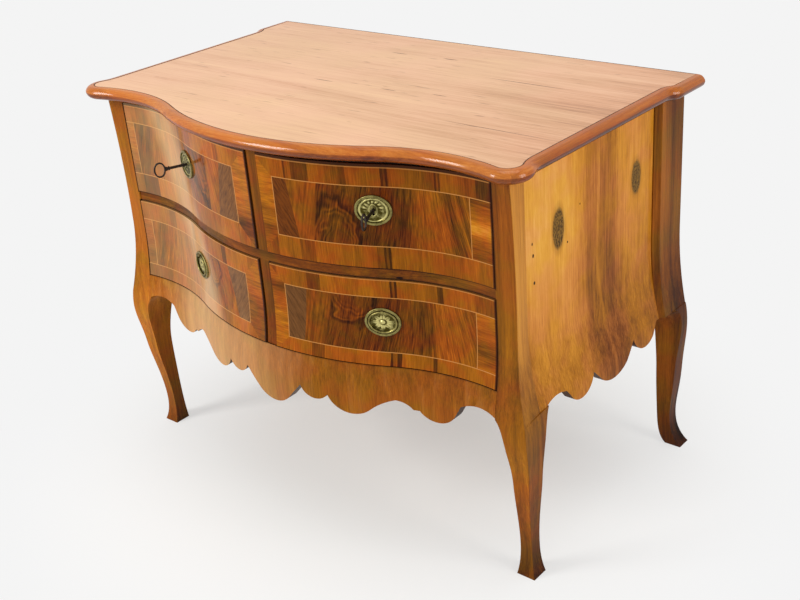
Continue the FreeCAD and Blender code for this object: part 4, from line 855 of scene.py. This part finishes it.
def plate_level(node_name, spots, frame_axes, reach):
    """How far a plate's bent face lies outward of each spot, in metres: the quadratic
    a + bu + cv + du^2 + euv + fv^2 that fits the samples of the triangles that face outwards inside the
    oval of half sizes `reach`, each with the weight of its area, so that it also spans the holes."""
    middle, across, up, outward = frame_axes
    corners, faces = corners_and_faces(node_name)
    triangles = corners[faces]
    square = np.cross(triangles[:, 1] - triangles[:, 0], triangles[:, 2] - triangles[:, 0])
    area = np.linalg.norm(square, axis=1)
    offsets = (triangles - middle) @ np.stack([across, up, outward], axis=1)
    inside = (np.hypot(offsets[..., 0] / reach[0], offsets[..., 1] / reach[1]) < FIT_PAST).all(axis=1)
    kept = inside & (square @ outward > FACES_OUT * area) & (area > 0)
    u, v, level = ((np.array(SAMPLES) @ offsets[kept]).reshape(-1, 3) / MM).T
    weight = np.repeat(np.sqrt(area[kept]), len(SAMPLES))

    def terms(u, v):
        return np.stack([np.ones_like(u), u, v, u * u, u * v, v * v], axis=-1)

    factors = np.linalg.lstsq(terms(u, v) * weight[:, None], level * weight, rcond=None)[0]
    flat = (spots - middle) @ np.stack([across, up], axis=1) / MM
    return terms(flat[..., 0], flat[..., 1]) @ factors * MM


def closed_sheet(name, grid, material, raised=None):
    """Mesh of a grid that closes on itself both ways; rows that shrink to a point become a pole. raised
    is how far each point stands proud, 0 to 1."""
    rows, columns = grid.shape[:2]
    index = np.arange(rows * columns).reshape(rows, columns)
    after = np.roll(index, -1, axis=0)
    faces = np.stack([index, np.roll(index, -1, axis=1), np.roll(after, -1, axis=1), after], axis=-1)
    mesh = bpy.data.meshes.new(name)
    mesh.from_pydata(grid.reshape(-1, 3).tolist(), [], faces.reshape(-1, 4).tolist())
    if raised is not None:
        mesh.attributes.new(RAISED, "FLOAT", "POINT").data.foreach_set("value", raised.reshape(-1))
    solid = bmesh.new()
    solid.from_mesh(mesh)
    bmesh.ops.remove_doubles(solid, verts=solid.verts, dist=WELD * MM)
    bmesh.ops.dissolve_degenerate(solid, edges=solid.edges, dist=NO_EDGE * MM)
    bmesh.ops.recalc_face_normals(solid, faces=solid.faces)
    solid.to_mesh(mesh)
    solid.free()
    for face in mesh.polygons:
        face.use_smooth = True
    mesh.materials.append(material)
    piece = bpy.data.objects.new(name, mesh)
    bpy.context.scene.collection.objects.link(piece)
    return piece


def relief(name, node_name, body, height, inner):
    """Embossed sheet on a plate's field: height(rho, theta) mm over the field, where rho runs from 0 at
    the inner oval to 1 at the rim's foot and theta goes round; its back lies sunk in the plate."""
    middle, across, up, outward, half = plate_frame(node_name)
    rho, theta = np.meshgrid(np.linspace(0, 1, RELIEF_GRID[0]),
                             np.linspace(0, 2 * np.pi, RELIEF_GRID[1], endpoint=False), indexing="ij")
    wide, high = (start * MM + (extent - (RIM_WIDE + RIM_GAP) * MM - start * MM) * rho
                  for extent, start in zip(half, inner))
    proud = height(rho, theta)
    spots = (middle + (wide * np.cos(theta))[..., None] * across
             + (high * np.sin(theta))[..., None] * up)
    face = plate_level(node_name, spots, (middle, across, up, outward),
                       [extent - RIM_WIDE * MM for extent in half])
    front = spots + (face + (LAID_ON + proud) * MM)[..., None] * outward
    back = spots + (face - SUNK * MM)[..., None] * outward
    grid = np.concatenate([front, back[::-1]])
    share = np.clip(proud / PROUD_HIGH, 0.0, 1.0)
    piece = closed_sheet(name, grid, EMBOSSED, np.concatenate([share, share[::-1]]))
    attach(piece, body)


def fade(value, start, stop):
    """Smooth 0 to 1 step between two values."""
    t = np.clip((value - start) / (stop - start), 0, 1)
    return t * t * (3 - 2 * t)


def bell(value, middle, wide):
    """Smooth ridge, 1 high: exp(-((value - middle) / wide)^2)."""
    return np.exp(-((value - middle) / wide) ** 2)


def flower(rho, theta):
    """Boss sqrt(1 - (rho / 0.17)^2), eight petals whose length follows |cos 4 theta|, each with a sunk
    vein, and a ring of 48 beads; the factors before each are its height in mm."""
    boss = 1.9 * np.sqrt(np.clip(1 - (rho / 0.17) ** 2, 0, 1))
    petal_long = 0.4 + 0.27 * np.abs(np.cos(4 * theta))
    petals = 0.95 * np.clip(1 - ((rho - 0.36) / (petal_long - 0.34)) ** 2, 0, 1) * fade(rho, 0.19, 0.3)
    vein = 0.45 * bell(np.sin(4 * theta), 0.0, 0.3) * fade(petals, 0.1, 0.6)
    beads = 0.6 * bell(rho, 0.86, 0.05) * (0.6 + 0.4 * np.cos(48 * theta))
    return boss + petals - vein + beads


def scrolls(rho, theta):
    """Smooth oval ridge inside the rim, a collar round the keyhole, and over it an arc of curls, the
    crests of cos(15 theta + 2.5 rho), that dies out downwards; the factors are heights in mm."""
    ridge = 0.9 * bell(rho, 0.8, 0.075)
    arc = fade(np.sin(theta), -0.45, 0.35) * fade(np.cos(15 * theta + 2.5 * rho), -0.5, 0.7)
    curls = 0.9 * bell(rho, 0.42, 0.14) * arc
    collar = 0.6 * bell(rho, 0.06, 0.06)
    return ridge + curls * fade(rho, 0.1, 0.22) + collar


for side in ("left", "right"):
    relief("rosette_relief_" + side, "rosette_plate_" + side, "drawer_lower_" + side,
           flower, (0.0, 0.0))
    relief("escutcheon_relief_" + side, "escutcheon_" + side, "drawer_upper_" + side,
           scrolls, (5.5, 9.5))

# ---------------------------------------------------------------- the joint round the top veneer
JOINT_WIDE = 2.2
JOINT_PROUD = 0.12
# a corner this close under the board's highest one is on its upper edge, in mm
ON_TOP = 0.01
# wax and dirt in the joint: a dark line that draws the veneered field inside its frame
JOINT_WAX = solid_walnut("dark_wax_in_the_joint", "x", 0.2, OLIVE_WALNUT, RUDDY_WALNUT, 41.0, coat=0.2)


def joint_line():
    """Dark line where the top veneer meets its moulding: the board's own outline and that outline moved
    inwards by the line's width, each at two heights, carried round as a closed ribbon."""
    points = corners_and_faces("top_board")[0]
    top = points[:, 2].max()
    rim = np.unique(np.round(points[points[:, 2] > top - ON_TOP * MM], 6), axis=0)
    rim = rim[np.argsort(np.arctan2(rim[:, 1], rim[:, 0]))]
    along = np.roll(rim, -1, axis=0) - np.roll(rim, 1, axis=0)
    along /= np.linalg.norm(along, axis=1)[:, None]
    inwards = np.stack([-along[:, 1], along[:, 0], np.zeros(len(rim))], axis=1)
    inner = rim + inwards * JOINT_WIDE * MM
    rise = np.array((0.0, 0.0, JOINT_PROUD * MM))
    section = np.stack([rim - rise, rim + rise, inner + rise, inner - rise])
    ribbon = closed_sheet("top_joint_line", section, JOINT_WAX)
    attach(ribbon, "case")


joint_line()

# ---------------------------------------------------------------- camera, floor, light
# the camera's place in metres, and its lens in mm on a sensor of 36 mm
CAMERA_PLACE = (1.545, -1.693, 1.4613)
CAMERA_AZIMUTH = math.radians(41.51)
CAMERA_ELEVATION = math.radians(25.88)
CAMERA_ROLL = math.radians(-4.45)
CAMERA_LENS = 54.24


def make_camera():
    """A level camera turned to its azimuth and elevation, then rolled about its line of sight."""
    azimuth, elevation, roll = CAMERA_AZIMUTH, CAMERA_ELEVATION, CAMERA_ROLL
    back = Vector((math.sin(azimuth) * math.cos(elevation), -math.cos(azimuth) * math.cos(elevation),
                   math.sin(elevation)))
    right = Vector((0, 0, 1)).cross(back).normalized()
    up = back.cross(right)
    rolled_right = math.cos(roll) * right + math.sin(roll) * up
    rolled_up = math.cos(roll) * up - math.sin(roll) * right
    camera = bpy.data.objects.new("camera", bpy.data.cameras.new("camera"))
    camera.data.lens = CAMERA_LENS
    turn = Matrix((rolled_right, rolled_up, back)).transposed().to_4x4()
    camera.matrix_world = Matrix.Translation(CAMERA_PLACE) @ turn
    bpy.context.scene.collection.objects.link(camera)
    bpy.context.scene.camera = camera


def seen_directly(tree):
    """1 for rays from the camera, off a mirror or through glass, 0 for the light that falls on things."""
    rays = [add(tree, "LightPath", out=name)
            for name in ("Is Camera Ray", "Is Glossy Ray", "Is Transmission Ray")]
    return add(tree, "Math.MAXIMUM", (add(tree, "Math.MAXIMUM", (rays[0], rays[1])), rays[2]))


BACKGROUND = "#f4f4f4"
# how bright the surroundings are where they light the chest
WORLD_LEVEL = 0.55
FLOOR_HALF = 14.0
# metres from the chest's middle between which the floor's even white goes from a share to the whole
FLOOR_WHITE = (0.2, 0.95, 0.3, 1.0)


def make_floor():
    """Seamless white paper: its shadow shows near the chest, softened by a share of even white that
    grows to the whole away from it."""
    made, tree = new_material("white_paper_sweep")
    place = add(tree, "TexCoord", out="Object")
    away = add(tree, "VectorMath.LENGTH", (place,), out="Value")
    share = add(tree, "MapRange", (away, *FLOOR_WHITE), interpolation_type="SMOOTHSTEP")
    paper = add(tree, "BsdfDiffuse", {"Color": linear("#fbfaf6")})
    glow = add(tree, "Emission", {"Color": linear(BACKGROUND), "Strength": 1.0})
    share = add(tree, "Math.MULTIPLY", (seen_directly(tree), share))
    shown = add(tree, "MixShader", (share, paper, glow))
    add(tree, "OutputMaterial", {"Surface": shown})
    mesh = bpy.data.meshes.new("floor")
    corners = [(x * FLOOR_HALF, y * FLOOR_HALF, 0) for x, y in ((-1, -1), (1, -1), (1, 1), (-1, 1))]
    mesh.from_pydata(corners, [], [(0, 1, 2, 3)])
    mesh.materials.append(made)
    floor = bpy.data.objects.new("floor", mesh)
    bpy.context.scene.collection.objects.link(floor)


def make_world():
    """Even white surroundings: full white where seen, a plain level where they light the chest."""
    world = bpy.data.worlds.new("studio")
    bpy.context.scene.world = world
    world.use_nodes = True
    tree = world.node_tree
    tree.nodes.clear()
    level = add(tree, "MapRange", (seen_directly(tree), 0.0, 1.0, WORLD_LEVEL, 1.0))
    light = add(tree, "Background", {"Color": linear(BACKGROUND), "Strength": level})
    add(tree, "OutputWorld", {"Surface": light})


# softboxes: place, the point each faces, edge length in metres, watts
SOFTBOXES = (
    ((-1.75, -2.85, 2.3), (-0.1, -0.3, 0.5), 1.2, 80.0),
    ((3.1, 0.1, 1.9), (0.5, 0.0, 0.5), 1.2, 31.0),
    ((0.2, 0.2, 3.2), (0.0, 0.0, 0.8), 1.8, 23.0),
)


def make_softbox(place, target, edge, watts):
    """A square area lamp turned towards a point."""
    lamp = bpy.data.lights.new("softbox", "AREA")
    lamp.size = edge
    lamp.energy = watts
    holder = bpy.data.objects.new("softbox", lamp)
    holder.location = place
    holder.rotation_euler = (Vector(place) - Vector(target)).to_track_quat("Z", "Y").to_euler()
    bpy.context.scene.collection.objects.link(holder)


make_camera()
make_floor()
make_world()
for softbox in SOFTBOXES:
    make_softbox(*softbox)
bpy.context.scene.view_settings.view_transform = "Standard"
